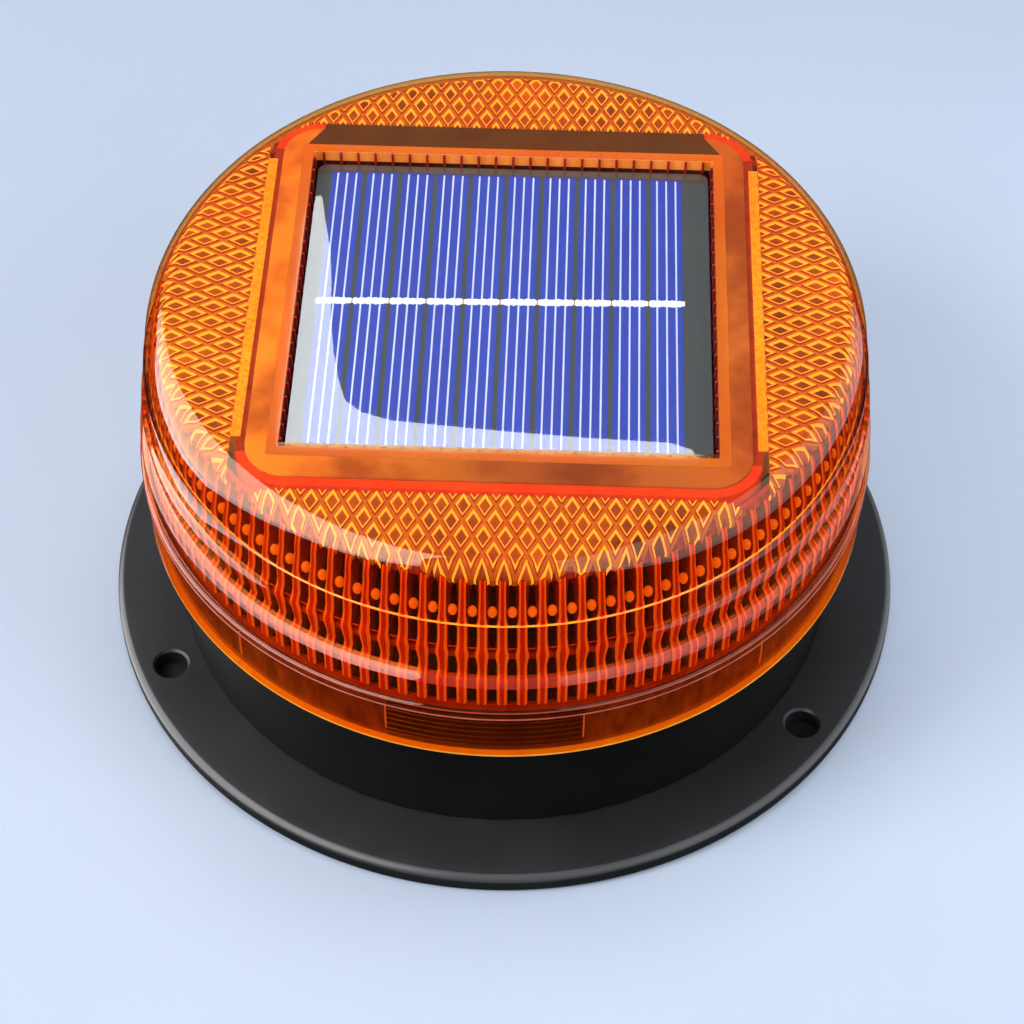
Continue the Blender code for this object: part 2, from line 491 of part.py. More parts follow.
def main():
    clear_scene()
    black = make_material("black_plastic", (0.02, 0.02, 0.023), 0.45)
    rubber = make_material("seal_rubber", (0.03, 0.03, 0.03), 0.8)
    steel = make_material("screw_steel", (0.55, 0.55, 0.56), 0.3, 1.0)
    tin = make_material("tinned_metal", (0.7, 0.7, 0.7), 0.25, 1.0)
    white = make_material("white_board", (0.8, 0.78, 0.72), 0.5)
    chip_black = make_material("chip_black", (0.03, 0.03, 0.03), 0.6)
    make_lens(make_material("amber_lens", (1.0, 0.28, 0.01), 0.08))
    make_panel(make_material("panel_back", (0.09, 0.1, 0.09), 0.5),
               make_material("silicon", (0.05, 0.08, 0.5), 0.3),
               make_material("clear_resin", (0.8, 0.85, 0.9), 0.05),
               make_material("glue", (0.2, 0.02, 0.01), 0.6))
    make_base(black, rubber)
    make_flange(black)
    make_screws(steel)
    make_drum_and_led_board(black, white, make_material("led_package", (0.9, 0.7, 0.2), 0.4),
                            chip_black)
    make_control_board(make_material("green_board", (0.02, 0.2, 0.08), 0.4), chip_black,
                       make_material("ferrite", (0.1, 0.09, 0.08), 0.5), tin)
    make_battery(make_material("battery_wrap", (0.05, 0.12, 0.45), 0.35), black, tin)
    make_switch(black, chip_black, make_material("button_red", (0.55, 0.03, 0.02), 0.5), tin)
    make_wires(make_material("red_wire", (0.6, 0.02, 0.02), 0.5),
               make_material("black_wire", (0.02, 0.02, 0.02), 0.5))


main()
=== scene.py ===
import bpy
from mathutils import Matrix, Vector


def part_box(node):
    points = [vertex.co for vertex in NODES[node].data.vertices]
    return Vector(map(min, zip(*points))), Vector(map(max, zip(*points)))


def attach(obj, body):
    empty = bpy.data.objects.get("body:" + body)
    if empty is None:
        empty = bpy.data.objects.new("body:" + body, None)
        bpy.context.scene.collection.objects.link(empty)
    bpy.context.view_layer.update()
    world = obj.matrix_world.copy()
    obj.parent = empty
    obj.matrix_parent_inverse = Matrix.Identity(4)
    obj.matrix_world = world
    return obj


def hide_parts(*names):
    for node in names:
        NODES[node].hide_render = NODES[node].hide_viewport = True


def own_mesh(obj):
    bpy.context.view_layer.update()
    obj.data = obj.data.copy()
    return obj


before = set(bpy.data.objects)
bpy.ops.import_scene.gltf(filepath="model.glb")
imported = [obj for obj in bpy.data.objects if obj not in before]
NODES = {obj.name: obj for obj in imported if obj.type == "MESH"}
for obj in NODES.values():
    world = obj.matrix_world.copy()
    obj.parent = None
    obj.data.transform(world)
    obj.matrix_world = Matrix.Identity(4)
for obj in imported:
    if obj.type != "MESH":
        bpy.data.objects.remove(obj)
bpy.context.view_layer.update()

import fnmatch
import math
import random

import bmesh
import bpy
from mathutils import Matrix, Vector

MM = 0.001
random.seed(7)

# ------ driving places, taken from the frame
LENS_LOW, LENS_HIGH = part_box("lens_cover")
FLANGE_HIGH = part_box("mounting_flange")[1]
PANEL_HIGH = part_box("panel_resin")[1]
CELL_LOW, CELL_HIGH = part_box("solar_cell_01")
LENS_TOP = LENS_HIGH.z
SKIRT_Z = LENS_LOW.z
FLANGE_TOP = FLANGE_HIGH.z
FLANGE_R = FLANGE_HIGH.y
PANEL_TOP = PANEL_HIGH.z
PANEL_HALF = PANEL_HIGH.x

# Outline of the lens, widths as radii
FLAT_R = 53.5 * MM
SHOULDER_Z, SHOULDER_R = 60.4 * MM, 58.2 * MM
SHOULDER_ARC, TIGHT_ARC, ARC_CHANGE = 10.8 * MM, 3.0 * MM, 38.0
WAIST_Z, WAIST_R = 57.0 * MM, 58.9 * MM
WAIST_GROOVE, GROOVE_DEPTH = 0.3 * MM, 0.2 * MM
# Each step of the wall: its top, its foot, the radius above and the radius below
UPPER_STEP = (52.4 * MM, 49.8 * MM, 59.1 * MM, 59.85 * MM)
LOWER_STEP = (45.2 * MM, 43.2 * MM, 59.3 * MM, 60.65 * MM)
BELT_Z, BELT_R = 38.2 * MM, 60.6 * MM
BEAD_Z, BEAD_R, BEAD_ROUND = 37.0 * MM, 61.2 * MM, 0.9 * MM
SKIRT_TOP, SKIRT_R = 36.0 * MM, 60.8 * MM
SKIN = 0.8 * MM         # thickness of the clear skin in front of the prisms
RIM = 0.7 * MM          # height of the solid rim under the skin
BEHIND = 1.2 * MM       # depth of the prisms' faces under the outer surface
RECESS_HALF, TRAY_HALF = 33.5 * MM, 35.3 * MM
TRAY_FLOOR, TRAY_UNDER = 61.5 * MM, 59.7 * MM
BORDER_X, BORDER_Y, BORDER_CORNER, BORDER_WALL = 40.2 * MM, 41.0 * MM, 8.0 * MM, 1.6 * MM
BORDER_TOP, BORDER_LOW = LENS_TOP - 1.3 * MM, 62.0 * MM
# The clear film under the top plate, between these heights
FILM_TOP, FILM_UNDER = LENS_TOP - SKIN - 0.1 * MM, BORDER_TOP + 0.1 * MM
FLUTES = 120
FLUTE_PITCH = 360 / FLUTES
FRONT = -90             # bearing of the lamp's front, in degrees
AROUND = 240


# ------ small helpers
def polar(radius, degrees, z=0.0):
    a = math.radians(degrees)
    return Vector((radius * math.cos(a), radius * math.sin(a), z))


def arc(centre, radius, start, end, steps):
    """Points of an arc in (radius, height), angles in degrees from the outward direction."""
    angles = [math.radians(start + (end - start) * k / steps) for k in range(steps + 1)]
    return [(centre[0] + radius * math.cos(a), centre[1] + radius * math.sin(a)) for a in angles]



def mix(a, b, t):
    return a + (b - a) * t


def along(points, x):
    """Value at x of a broken line of (x, value) points sorted by x."""
    if x <= points[0][0]:
        return points[0][1]
    for (x0, v0), (x1, v1) in zip(points, points[1:]):
        if x <= x1:
            return mix(v0, v1, (x - x0) / (x1 - x0))
    return points[-1][1]


def add_object(name, data):
    item = bpy.data.objects.new(name, data)
    bpy.context.scene.collection.objects.link(item)
    return item


def finish(name, bm, materials, body="lamp", angle=35, smooth=True):
    """Turn a bmesh into a piece that rides on a body."""
    bmesh.ops.remove_doubles(bm, verts=bm.verts, dist=1e-7)
    bmesh.ops.recalc_face_normals(bm, faces=bm.faces)
    mesh = bpy.data.meshes.new(name)
    bm.to_mesh(mesh)
    bm.free()
    if smooth:
        mesh.shade_smooth()
        mesh.set_sharp_from_angle(angle=math.radians(angle))
    for material in materials:
        mesh.materials.append(material)
    item = add_object(name, mesh)
    if body:
        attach(item, body)
    return item


def loft(bm, loops, closed=True, material=0, capped=False):
    """Join loops of points into a tube of quads; capped closes its two ends."""
    rows = [[bm.verts.new(p) for p in loop] for loop in loops]
    pairs = list(zip(rows, rows[1:]))
    if closed:
        pairs.append((rows[-1], rows[0]))
    for k, (a, b) in enumerate(pairs):
        n = len(a)
        index = material[k] if isinstance(material, (list, tuple)) else material
        for j in range(n):
            face = bm.faces.new((a[j], a[(j + 1) % n], b[(j + 1) % n], b[j]))
            face.material_index = index
    if capped:
        bm.faces.new(rows[0])
        bm.faces.new(rows[-1])
    return rows


def circle(radius, z, count=AROUND):
    """A level loop of points about the lamp's axis."""
    return [polar(radius, 360 * k / count, z) for k in range(count)]


def turned(name, outline, materials, around=AROUND, indices=0):
    """Turn a closed outline of (radius, height) about the lamp's axis."""
    bm = bmesh.new()
    loft(bm, [circle(r, z, around) for r, z in outline], True, indices)
    return finish(name, bm, materials)


def block(bm, at, size, spin=Matrix()):
    """Add a box to a bmesh by its middle and its size, then turned by spin about the origin."""
    bmesh.ops.create_cube(bm, size=1.0, matrix=spin @ Matrix.Translation(at) @ Matrix.Diagonal((*size, 1)))


# ------ node materials
class Look:
    """One node material, built a node at a time."""

    def __init__(self, name):
        self.material = bpy.data.materials.new(name)
        self.material.use_nodes = True
        self.tree = self.material.node_tree
        self.tree.nodes.clear()
        self.out = self.tree.nodes.new("ShaderNodeOutputMaterial")

    def node(self, kind, settings=None, **inputs):
        item = self.tree.nodes.new("ShaderNode" + kind)
        for key, value in (settings or {}).items():
            setattr(item, key, value)
        for key, value in inputs.items():
            self.set(item, key.replace("_", " "), value)
        return item

    def set(self, item, socket, value):
        target = item.inputs[int(socket)] if socket.isdigit() else item.inputs[socket]
        if isinstance(value, bpy.types.Node):
            value = value.outputs[0]
        if isinstance(value, bpy.types.NodeSocket):
            self.tree.links.new(value, target)
        elif isinstance(value, (tuple, list)) and len(value) == 3 and target.type == "RGBA":
            target.default_value = (*value, 1.0)
        else:
            target.default_value = value

    def coords(self):
        return self.node("TexCoord").outputs["Object"]

    def noise(self, scale, detail=4.0, roughness=0.55, stretch=None):
        where = self.coords()
        if stretch:
            where = self.node("Mapping", Vector=where, Scale=stretch)
        return self.node("TexNoise", Vector=where, Scale=scale, Detail=detail, Roughness=roughness)

    def ramp(self, factor, stops):
        item = self.node("ValToRGB", Fac=factor)
        ramp = item.color_ramp
        while len(ramp.elements) < len(stops):
            ramp.elements.new(0.5)
        for element, (place, colour) in zip(ramp.elements, stops):
            element.position = place
            element.color = (*colour, 1.0) if len(colour) == 3 else colour
        return item.outputs["Color"]

    def span(self, value, low, high):
        return self.node("MapRange", Value=value, To_Min=low, To_Max=high)

    def bump(self, height, strength, distance):
        return self.node("Bump", Height=height, Strength=strength, Distance=distance)

    def mirror_share(self, straight, **inputs):
        """Share of light mirrored, the same from both sides, rising to all at grazing."""
        edge = self.node("LayerWeight", Blend=0.5, **inputs)
        steep = self.node("Math", {"operation": "POWER"}, **{"0": edge.outputs["Facing"], "1": 5.0})
        return self.span(steep, straight, 1.0)

    def blend(self, share, first, second):
        """Two shaders mixed, with this share of the second."""
        return self.node("MixShader", **{"0": share, "1": first, "2": second})

    def veil(self, tint, rough, glow):
        """Tinted clear plastic with some body, with a painted glow: emission in the tint's colour stands in
        for light inside the plastic.
        """
        through = self.node("BsdfTransparent", Color=tint)
        body = self.node("BsdfPrincipled", Base_Color=tint, Roughness=rough, Emission_Color=tint,
                         Emission_Strength=glow)
        return self.done(self.blend(0.55, through, body))

    def done(self, shader):
        self.tree.links.new(shader.outputs[0], self.out.inputs["Surface"])
        return self.material


def plastic(name, low, high, rough=(0.35, 0.5), grain=900.0, depth=0.04, coat=0.0, patches=60.0, shine=0.5):
    """Moulded plastic, with fine grain and uneven gloss."""
    look = Look(name)
    fine = look.noise(grain, 3.0)
    broad = look.noise(patches, 5.0)
    return look.done(look.node(
        "BsdfPrincipled", Base_Color=look.ramp(broad, [(0.3, low), (0.7, high)]),
        Roughness=look.span(broad, rough[0], rough[1]), Specular_IOR_Level=shine,
        Normal=look.bump(fine, 0.35, depth * MM), Coat_Weight=coat, Coat_Roughness=0.12))


def metal(name, low, high):
    """Plated metal with fine, uneven gloss."""
    look = Look(name)
    fine = look.noise(500.0, 4.0)
    return look.done(look.node(
        "BsdfPrincipled", Base_Color=look.ramp(fine, [(0.3, low), (0.7, high)]), Metallic=1.0,
        Roughness=look.span(fine, 0.2, 0.4), Normal=look.bump(fine, 0.3, 0.02 * MM)))


def clear_amber():
    """Polished amber skin: see-through, more mirror-like at a slant, with a faint ripple."""
    look = Look("amber_clear")
    ripple = look.bump(look.noise(110.0, 1.0), 0.05, 0.05 * MM)
    cloud = look.noise(35.0, 3.0)
    tint = look.ramp(cloud, [(0.35, (1.0, 0.66, 0.26)), (0.7, (1.0, 0.74, 0.34))])
    through = look.node("BsdfTransparent", Color=tint)
    gloss = look.node("BsdfGlossy", Color=(1.0, 0.93, 0.9), Roughness=0.035, Normal=ripple)
    body = look.node("BsdfDiffuse", Color=(1.0, 0.16, 0.012), Normal=ripple)
    edge = look.node("LayerWeight", Blend=0.32)
    inside = look.blend(look.span(edge.outputs["Facing"], 0.0, 0.07), through, body)
    return look.done(look.blend(look.mirror_share(0.05, Normal=ripple), inside, gloss))


def film_look():
    """Film of the border, with painted light: bright orange on the left, darker and browner towards the
    middle and right, with darker blotches at random and a painted glow.
    """
    look = Look("amber_film")
    where = look.node("SeparateXYZ", Vector=look.coords())
    # Painted light: the colour runs from bright on the left to darker towards the middle and right.
    across = look.node("MapRange", Value=where.outputs["X"], From_Min=-36 * MM, From_Max=40 * MM)
    tone = look.ramp(across, [(0.0, (1.0, 0.86, 0.56)), (0.55, (0.46, 0.32, 0.36)),
                                         (1.0, (0.7, 0.52, 0.6))])
    blotch_noise = look.noise(70.0, 4.0, 0.6)
    blotches = look.ramp(blotch_noise, [(0.34, (0.62, 0.52, 0.52)), (0.52, (1, 1, 1))])
    tint = look.node("MixRGB", {"blend_type": "MULTIPLY"}, Fac=1.0, Color1=tone, Color2=blotches)
    # Painted glow: the film gives out light in its own colour.
    return look.veil(tint, 0.5, 0.28)


def amber_shell():
    """Clear amber walls under the top plate, with a painted glow."""
    look = Look("amber_shell")
    cloud = look.noise(90.0, 3.0)
    tint = look.ramp(cloud, [(0.3, (0.95, 0.66, 0.5)), (0.7, (1.0, 0.8, 0.62))])
    return look.veil(tint, 0.4, 0.15)


def amber(name, low, high, rough=0.25, glow=0.0, painted_glow_colour=(1.0, 0.3, 0.05), scale=260.0, thin=0.3):
    """Amber plastic seen in depth: streaked, glossy, and letting some light through; glow gives it a painted
    glow, emission standing in for light carried in the amber.
    """
    look = Look("amber_" + name)
    streak = look.noise(scale, 4.0, stretch=(1, 1, 0.35))
    shader = look.node("BsdfPrincipled",
                       Base_Color=look.ramp(streak, [(0.32, low), (0.68, high)]),
                       Roughness=look.span(streak, rough * 0.7, rough * 1.3),
                       Normal=look.bump(streak, 0.25, 0.05 * MM))
    # Painted glow: emission in place of light, for the looks that are given a glow.
    if glow:
        shader.inputs["Emission Color"].default_value = (*painted_glow_colour, 1.0)
        shader.inputs["Emission Strength"].default_value = glow
    if thin:
        soft = look.node("BsdfTranslucent", Color=look.ramp(streak, [(0.3, low), (0.7, high)]))
        shader = look.blend(thin, shader, soft)
    return look.done(shader)


# ------ the lens
def lens_profile(inset=0.0):
    """Outer outline of the lens from the top's edge down to the skirt, moved inwards by inset."""
    big = (SHOULDER_R - SHOULDER_ARC, SHOULDER_Z)
    reach = SHOULDER_ARC - TIGHT_ARC
    turn = math.radians(ARC_CHANGE)
    tight = (big[0] + reach * math.cos(turn), big[1] + reach * math.sin(turn))
    points = arc(tight, TIGHT_ARC - inset, 90, ARC_CHANGE, 8)
    points += arc(big, SHOULDER_ARC - inset, ARC_CHANGE, 0, 10)[1:]
    return points


def wall_points():
    """Outer wall, with two rounded steps, from the shoulder to the belt, as (radius, height)."""
    points = [(SHOULDER_R, SHOULDER_Z), (WAIST_R, WAIST_Z)]
    steps = 8
    for high, low, above, below in (UPPER_STEP, LOWER_STEP):
        for k in range(steps + 1):
            t = k / steps
            points.append((mix(above, below, t * t * (3 - 2 * t)), mix(high, low, t)))
    return points + [(BELT_R, BELT_Z)]


WALL = [(z, r) for r, z in wall_points()[::-1]]


def wall_r(z):
    """Radius of the lens's outer wall at a height below the shoulder."""
    return along([(SKIRT_Z, SKIRT_R), (SKIRT_TOP, SKIRT_R)] + WALL, z)


def depth_r(z):
    """Radius of the prisms' faces at a height, a fixed depth behind the outer surface."""
    if z <= SHOULDER_Z:
        return wall_r(z) - BEHIND
    rise = (z - SHOULDER_Z) / (SHOULDER_ARC - BEHIND)
    return SHOULDER_R - SHOULDER_ARC + (SHOULDER_ARC - BEHIND) * math.sqrt(max(0.0, 1 - rise * rise))


def depth_z(r):
    """Height of the prisms' faces under the top at a radius."""
    return along(lens_profile(BEHIND), r)


def square_ring(half, z):
    """A level square loop whose points have the bearings of a circle's."""
    loop = []
    for point in circle(1.0, z):
        reach = half / max(abs(point.x), abs(point.y))
        loop.append(Vector((reach * point.x, reach * point.y, z)))
    return loop


def make_skin(clear):
    """The clear skin, open over the panel and at the foot of the skirt."""
    support = 0.6 * MM      # a loop this far inside the shoulder keeps the top flat
    outer = lens_profile()
    outer += [(wall_r(WAIST_Z + WAIST_GROOVE), WAIST_Z + WAIST_GROOVE), (WAIST_R - GROOVE_DEPTH, WAIST_Z),
              (wall_r(WAIST_Z - WAIST_GROOVE), WAIST_Z - WAIST_GROOVE)]
    outer += wall_points()[2:]
    outer += arc((BEAD_R - BEAD_ROUND, BEAD_Z + 0.6 * MM), BEAD_ROUND, 60, -60, 6)
    outer += [(SKIRT_R, SKIRT_TOP), (SKIRT_R, SKIRT_Z + RIM)]
    inner = [(SKIRT_R - SKIN, SKIRT_Z + RIM), (SKIRT_R - SKIN, SKIRT_TOP), (BELT_R - SKIN, BELT_Z + 0.2 * MM)]
    inner += [(r - SKIN, z) for r, z in wall_points()[:0:-1]]
    inner += lens_profile(SKIN)[::-1]
    bm = bmesh.new()
    loops = [square_ring(RECESS_HALF, LENS_TOP - SKIN), square_ring(RECESS_HALF, LENS_TOP)]
    loops.append(circle(FLAT_R - support, LENS_TOP))
    loops += [circle(r, z) for r, z in outer + inner]
    loft(bm, loops)
    skin = finish("lens_skin", bm, [clear], angle=50)
    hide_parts("lens_cover")


# Share of the flute's pitch that the rib takes, by height (mm): its front face and its foot
RIB_FACE = [(38.0, 0.5), (41.4, 0.5), (41.8, 0.54), (43.9, 0.54), (44.4, 0.48), (46.2, 0.5), (47.4, 0.58),
            (48.6, 0.66), (49.6, 0.64), (50.4, 0.54), (51.0, 0.5), (54.4, 0.5), (55.1, 0.58), (55.7, 0.5),
            (57.0, 0.38), (62.0, 0.34), (64.2, 0.36)]
RIB_FOOT = [(38.0, 0.54), (41.4, 0.54), (41.7, 0.62), (43.9, 0.62), (44.4, 0.54), (45.4, 0.58), (46.6, 0.68),
            (47.7, 0.94), (48.9, 0.96), (49.6, 0.8), (50.4, 0.62), (51.0, 0.58), (54.4, 0.58), (55.3, 0.66),
            (56.0, 0.6), (58.0, 0.62), (60.0, 0.72), (62.0, 0.86), (64.2, 0.97)]
# Section of a rib's front: share of its half width, and depth in mm
RIB_SECTION = ((-1, 0.25), (-0.45, 0.02), (0, -0.1), (0.45, 0.02), (1, 0.25))
# Look of each stretch of the section, from foot to foot: 0 the bright edges, a painted highlight, 1 the red
# middle, 2 the dark flanks, painted shade
RIB_LOOKS = (2, 0, 1, 1, 0, 2, 2)


def make_flutes(edge, core, flank_shade):
    """The ring of upright ribs behind the skin, each wider or narrower by height."""
    low, high, step, depth = 38.0, 64.3, 0.8, 2.0 * MM
    bm = bmesh.new()
    heights = sorted({z for z, _ in RIB_FACE} | {z for z, _ in RIB_FOOT}
                     | {low + k * step for k in range(int((high - low) / step) + 1)})
    for n in range(FLUTES):
        middle = FRONT + (n + 0.5) * FLUTE_PITCH
        rows = []
        for h in heights:
            z = h * MM
            front = depth_r(z)
            a = FLUTE_PITCH / 2 * along(RIB_FACE, h)
            b = FLUTE_PITCH / 2 * along(RIB_FOOT, h)
            points = [(-b, depth)] + [(share * a, inset * MM) for share, inset in RIB_SECTION] + [(b, depth)]
            rows.append([bm.verts.new(polar(front - inset, middle + turn, z)) for turn, inset in points])
        for lower, upper in zip(rows, rows[1:]):
            for j, look in enumerate(RIB_LOOKS):
                k = (j + 1) % len(RIB_LOOKS)
                bm.faces.new((lower[j], lower[k], upper[k], upper[j])).material_index = look
        for end in (rows[0], rows[-1]):
            bm.faces.new(end).material_index = 2
    finish("lens_flutes", bm, [edge, core, flank_shade], angle=50)


def make_bands(web, ridge, line):
    """Level rings that cross the flutes, and the moulding line, whose bright yellow is a painted highlight
    with a painted glow.
    """
    def band(name, z_low, z_high, back, material, thick=0.7 * MM):
        slope = 0.1 * MM
        low, high = z_low * MM, z_high * MM
        r_low, r_high = depth_r(low) - back, depth_r(high) - back
        item = turned(name, [(r_high, high), (r_low, low), (r_low - thick, low + slope),
                             (r_high - thick, high - slope)], [material])

    band("lens_web", 47.8, 49.3, 0.45 * MM, web)
    band("lens_ridge", 41.6, 43.9, 0.35 * MM, ridge)
    band("lens_foot_band", 36.4, 37.9, 0.3 * MM, web)
    band("lens_rim_band", 63.2, 64.6, 0.9 * MM, web)
    band("lens_mould_line", 55.4, 55.64, -0.16 * MM, line, 0.25 * MM)
    band("lens_step_line", 50.24, 50.38, 0.5 * MM, ridge, 0.2 * MM)


def make_dots(material):
    """A small round lens, a little taller than wide, in each upper window."""
    z, depth, radius, stretch = 57.7 * MM, 0.75 * MM, 0.74 * MM, 1.4
    bm = bmesh.new()
    for n in range(FLUTES):
        place = Matrix.Translation(polar(depth_r(z) - depth, FRONT + n * FLUTE_PITCH, z))
        bmesh.ops.create_uvsphere(bm, u_segments=12, v_segments=8, radius=radius,
                                  matrix=place @ Matrix.Diagonal((1, 1, stretch, 1)))
    finish("lens_dots", bm, [material])


DIAMOND_RIM, DIAMOND_FIRST = 56.1 * MM, 40.6 * MM
# Half diagonals of a diamond and the lattice's inner edge: front and back, then the sides
LONG_DIAMOND = (1.63 * MM, 3.1 * MM, BORDER_Y + 0.6 * MM)
SIDE_DIAMOND = (1.7 * MM, 3.02 * MM, BORDER_X + 0.9 * MM)
# Relief of one diamond prism: share of its size, and rise in mm
RELIEF = ((1.0, 0.0), (0.82, 0.0), (0.76, -0.12), (0.72, 0.3), (0.6, 0.3), (0.52, 0.0), (0.0, 0.06))


def add_diamond(bm, cx, cy, hx, hy):
    """One prism of the lattice: flat band, groove, raised edge and a sunk middle; the groove's dark look is
    painted shade and the raised edge's bright yellow a painted highlight.
    """
    corners = ((1, 0), (0, 1), (-1, 0), (0, -1))
    rings = []
    for scale, rise in RELIEF[:-1]:
        ring = []
        for (ux, uy), (nx, ny) in zip(corners, corners[1:] + corners[:1]):
            for t in (0.0, 0.5):
                x, y = cx + scale * hx * mix(ux, nx, t), cy + scale * hy * mix(uy, ny, t)
                ring.append(bm.verts.new((x, y, rise * MM)))
        rings.append(ring)
    middle = bm.verts.new((cx, cy, RELIEF[-1][1] * MM))
    for a, b, kind in zip(rings, rings[1:], (0, 1, 1, 2, 2)):
        for j in range(8):
            bm.faces.new((a[j], a[(j + 1) % 8], b[(j + 1) % 8], b[j])).material_index = kind
    for j in range(8):
        bm.faces.new((rings[-1][j], rings[-1][(j + 1) % 8], middle)).material_index = 3


def diamond_segment(hx, hy, inner, turn):
    """The lattice between a straight inner edge and the rim, as a mesh turned to its side."""
    bm = bmesh.new()
    for row in range(int((DIAMOND_RIM - DIAMOND_FIRST) / hy) + 2):
        cy = DIAMOND_FIRST + row * hy
        count = int(DIAMOND_RIM / (2 * hx)) + 1
        for k in range(-count, count + 1):
            cx = k * 2 * hx + (hx if row % 2 else 0.0)
            if math.hypot(cx, cy) < DIAMOND_RIM + 0.3 * hy:
                add_diamond(bm, cx, cy, hx, hy)
    bmesh.ops.remove_doubles(bm, verts=bm.verts, dist=1e-6)
    everything = list(bm.verts) + list(bm.edges) + list(bm.faces)
    bmesh.ops.bisect_plane(bm, geom=everything, plane_co=(0, inner, 0), plane_no=(0, -1, 0), clear_outer=True)
    bmesh.ops.rotate(bm, verts=bm.verts, matrix=Matrix.Rotation(math.radians(turn), 3, "Z"))
    mesh = bpy.data.meshes.new("segment")
    bm.to_mesh(mesh)
    bm.free()
    return mesh


def make_diamonds(band, groove, edge, core):
    """Four segments of diamond prisms outside the clear border, which follow the shoulder down."""
    depth, thickness = 0.45 * MM, 1.0 * MM
    bm = bmesh.new()
    for diamond, turns in ((LONG_DIAMOND, (0, 180)), (SIDE_DIAMOND, (90, 270))):
        for turn in turns:
            bm.from_mesh(diamond_segment(*diamond, turn))
    far = [f for f in bm.faces if f.calc_center_median().xy.length > DIAMOND_RIM]
    bmesh.ops.delete(bm, geom=far, context="FACES")
    for v in bm.verts:
        r = math.hypot(v.co.x, v.co.y)
        if r > DIAMOND_RIM:
            v.co.x *= DIAMOND_RIM / r
            v.co.y *= DIAMOND_RIM / r
            r = DIAMOND_RIM
        v.co.z += depth_z(r) - depth
    bmesh.ops.dissolve_degenerate(bm, edges=bm.edges, dist=1e-6)
    made = bmesh.ops.extrude_face_region(bm, geom=list(bm.faces), use_keep_orig=True)
    lifted = [g for g in made["geom"] if isinstance(g, bmesh.types.BMVert)]
    bmesh.ops.translate(bm, verts=lifted, vec=(0, 0, -thickness))
    finish("lens_diamonds", bm, [band, groove, edge, core], smooth=False)


def rectangle(half_x, half_y, corner, z, steps=8):
    points = []
    for turn, (sx, sy) in enumerate(((1, 1), (-1, 1), (-1, -1), (1, -1))):
        for k in range(steps + 1):
            a = math.radians(90 * turn + 90 * k / steps)
            points.append(Vector((sx * (half_x - corner) + corner * math.cos(a),
                                  sy * (half_y - corner) + corner * math.sin(a), z)))
    return points


def make_border(red, side, shade):
    """The frame that hangs under the top plate: red in front and at the corners, shaded behind."""
    bm = bmesh.new()
    outer = [rectangle(BORDER_X, BORDER_Y, BORDER_CORNER, z) for z in (BORDER_TOP, BORDER_LOW)]
    inner = [rectangle(BORDER_X - BORDER_WALL, BORDER_Y - BORDER_WALL, BORDER_CORNER - BORDER_WALL, z)
             for z in (BORDER_LOW, BORDER_TOP)]
    loft(bm, outer + inner)
    red_reach = BORDER_Y - BORDER_CORNER + 1 * MM
    shade_left, shade_right = -26 * MM, 32 * MM
    for face in bm.faces:
        at = face.calc_center_median()
        if abs(at.y) <= red_reach:
            face.material_index = 1
        elif at.y > 0 and shade_left < at.x < shade_right:
            face.material_index = 2
    finish("lens_border", bm, [red, side, shade], angle=30)


def make_film(film, shade):
    """The clear film between the frame and the tray, shaded along its back."""
    hole, corner = TRAY_HALF + 0.05 * MM, 0.6 * MM
    around_x, around_y = BORDER_X - BORDER_WALL, BORDER_Y - BORDER_WALL
    shade_width, shade_half = 6 * MM, 20 * MM
    bm = bmesh.new()
    loops = [rectangle(around_x, around_y, BORDER_CORNER - BORDER_WALL, z) for z in (FILM_TOP, FILM_UNDER)]
    loops += [rectangle(hole, hole, corner, z) for z in (FILM_UNDER, FILM_TOP)]
    loft(bm, loops)
    for face in bm.faces:
        at = face.calc_center_median()
        if at.y > around_y - shade_width and abs(at.x) < shade_half:
            face.material_index = 1
    finish("lens_border_film", bm, [film, shade], angle=30)


def make_stops(tab):
    """Two small stops between the tray and the front of the frame."""
    bm = bmesh.new()
    for x in (-14.2, 1.4):
        block(bm, (x * MM, -37.0 * MM, 65.2 * MM), (2.0 * MM, 3.6 * MM, 3.0 * MM))
    bmesh.ops.bevel(bm, geom=list(bm.edges), offset=0.25 * MM, segments=2, affect="EDGES")
    finish("lens_front_stops", bm, [tab])


def make_strips(strip):
    """A speckled strip with a wavy outer edge along each side of the frame, which glows as painted light."""
    half_length, half_width, waviness, steps = 31.5 * MM, 0.75 * MM, 0.1 * MM, 60
    for name, turn in (("lens_strip_left", -1), ("lens_strip_right", 1)):
        bm = bmesh.new()
        near, far = turn * (BORDER_X - half_width), BORDER_X + half_width
        loops = []
        for k in range(steps + 1):
            y = mix(-half_length, half_length, k / steps)
            wave = waviness * math.sin(k * 2.1)
            edge = turn * (far + wave)
            loops.append([Vector((near, y, FILM_UNDER)), Vector((edge, y, FILM_UNDER)),
                          Vector((edge, y, FILM_TOP - wave)), Vector((near, y, FILM_TOP))])
        loft(bm, loops, False, capped=True)
        finish(name, bm, [strip])


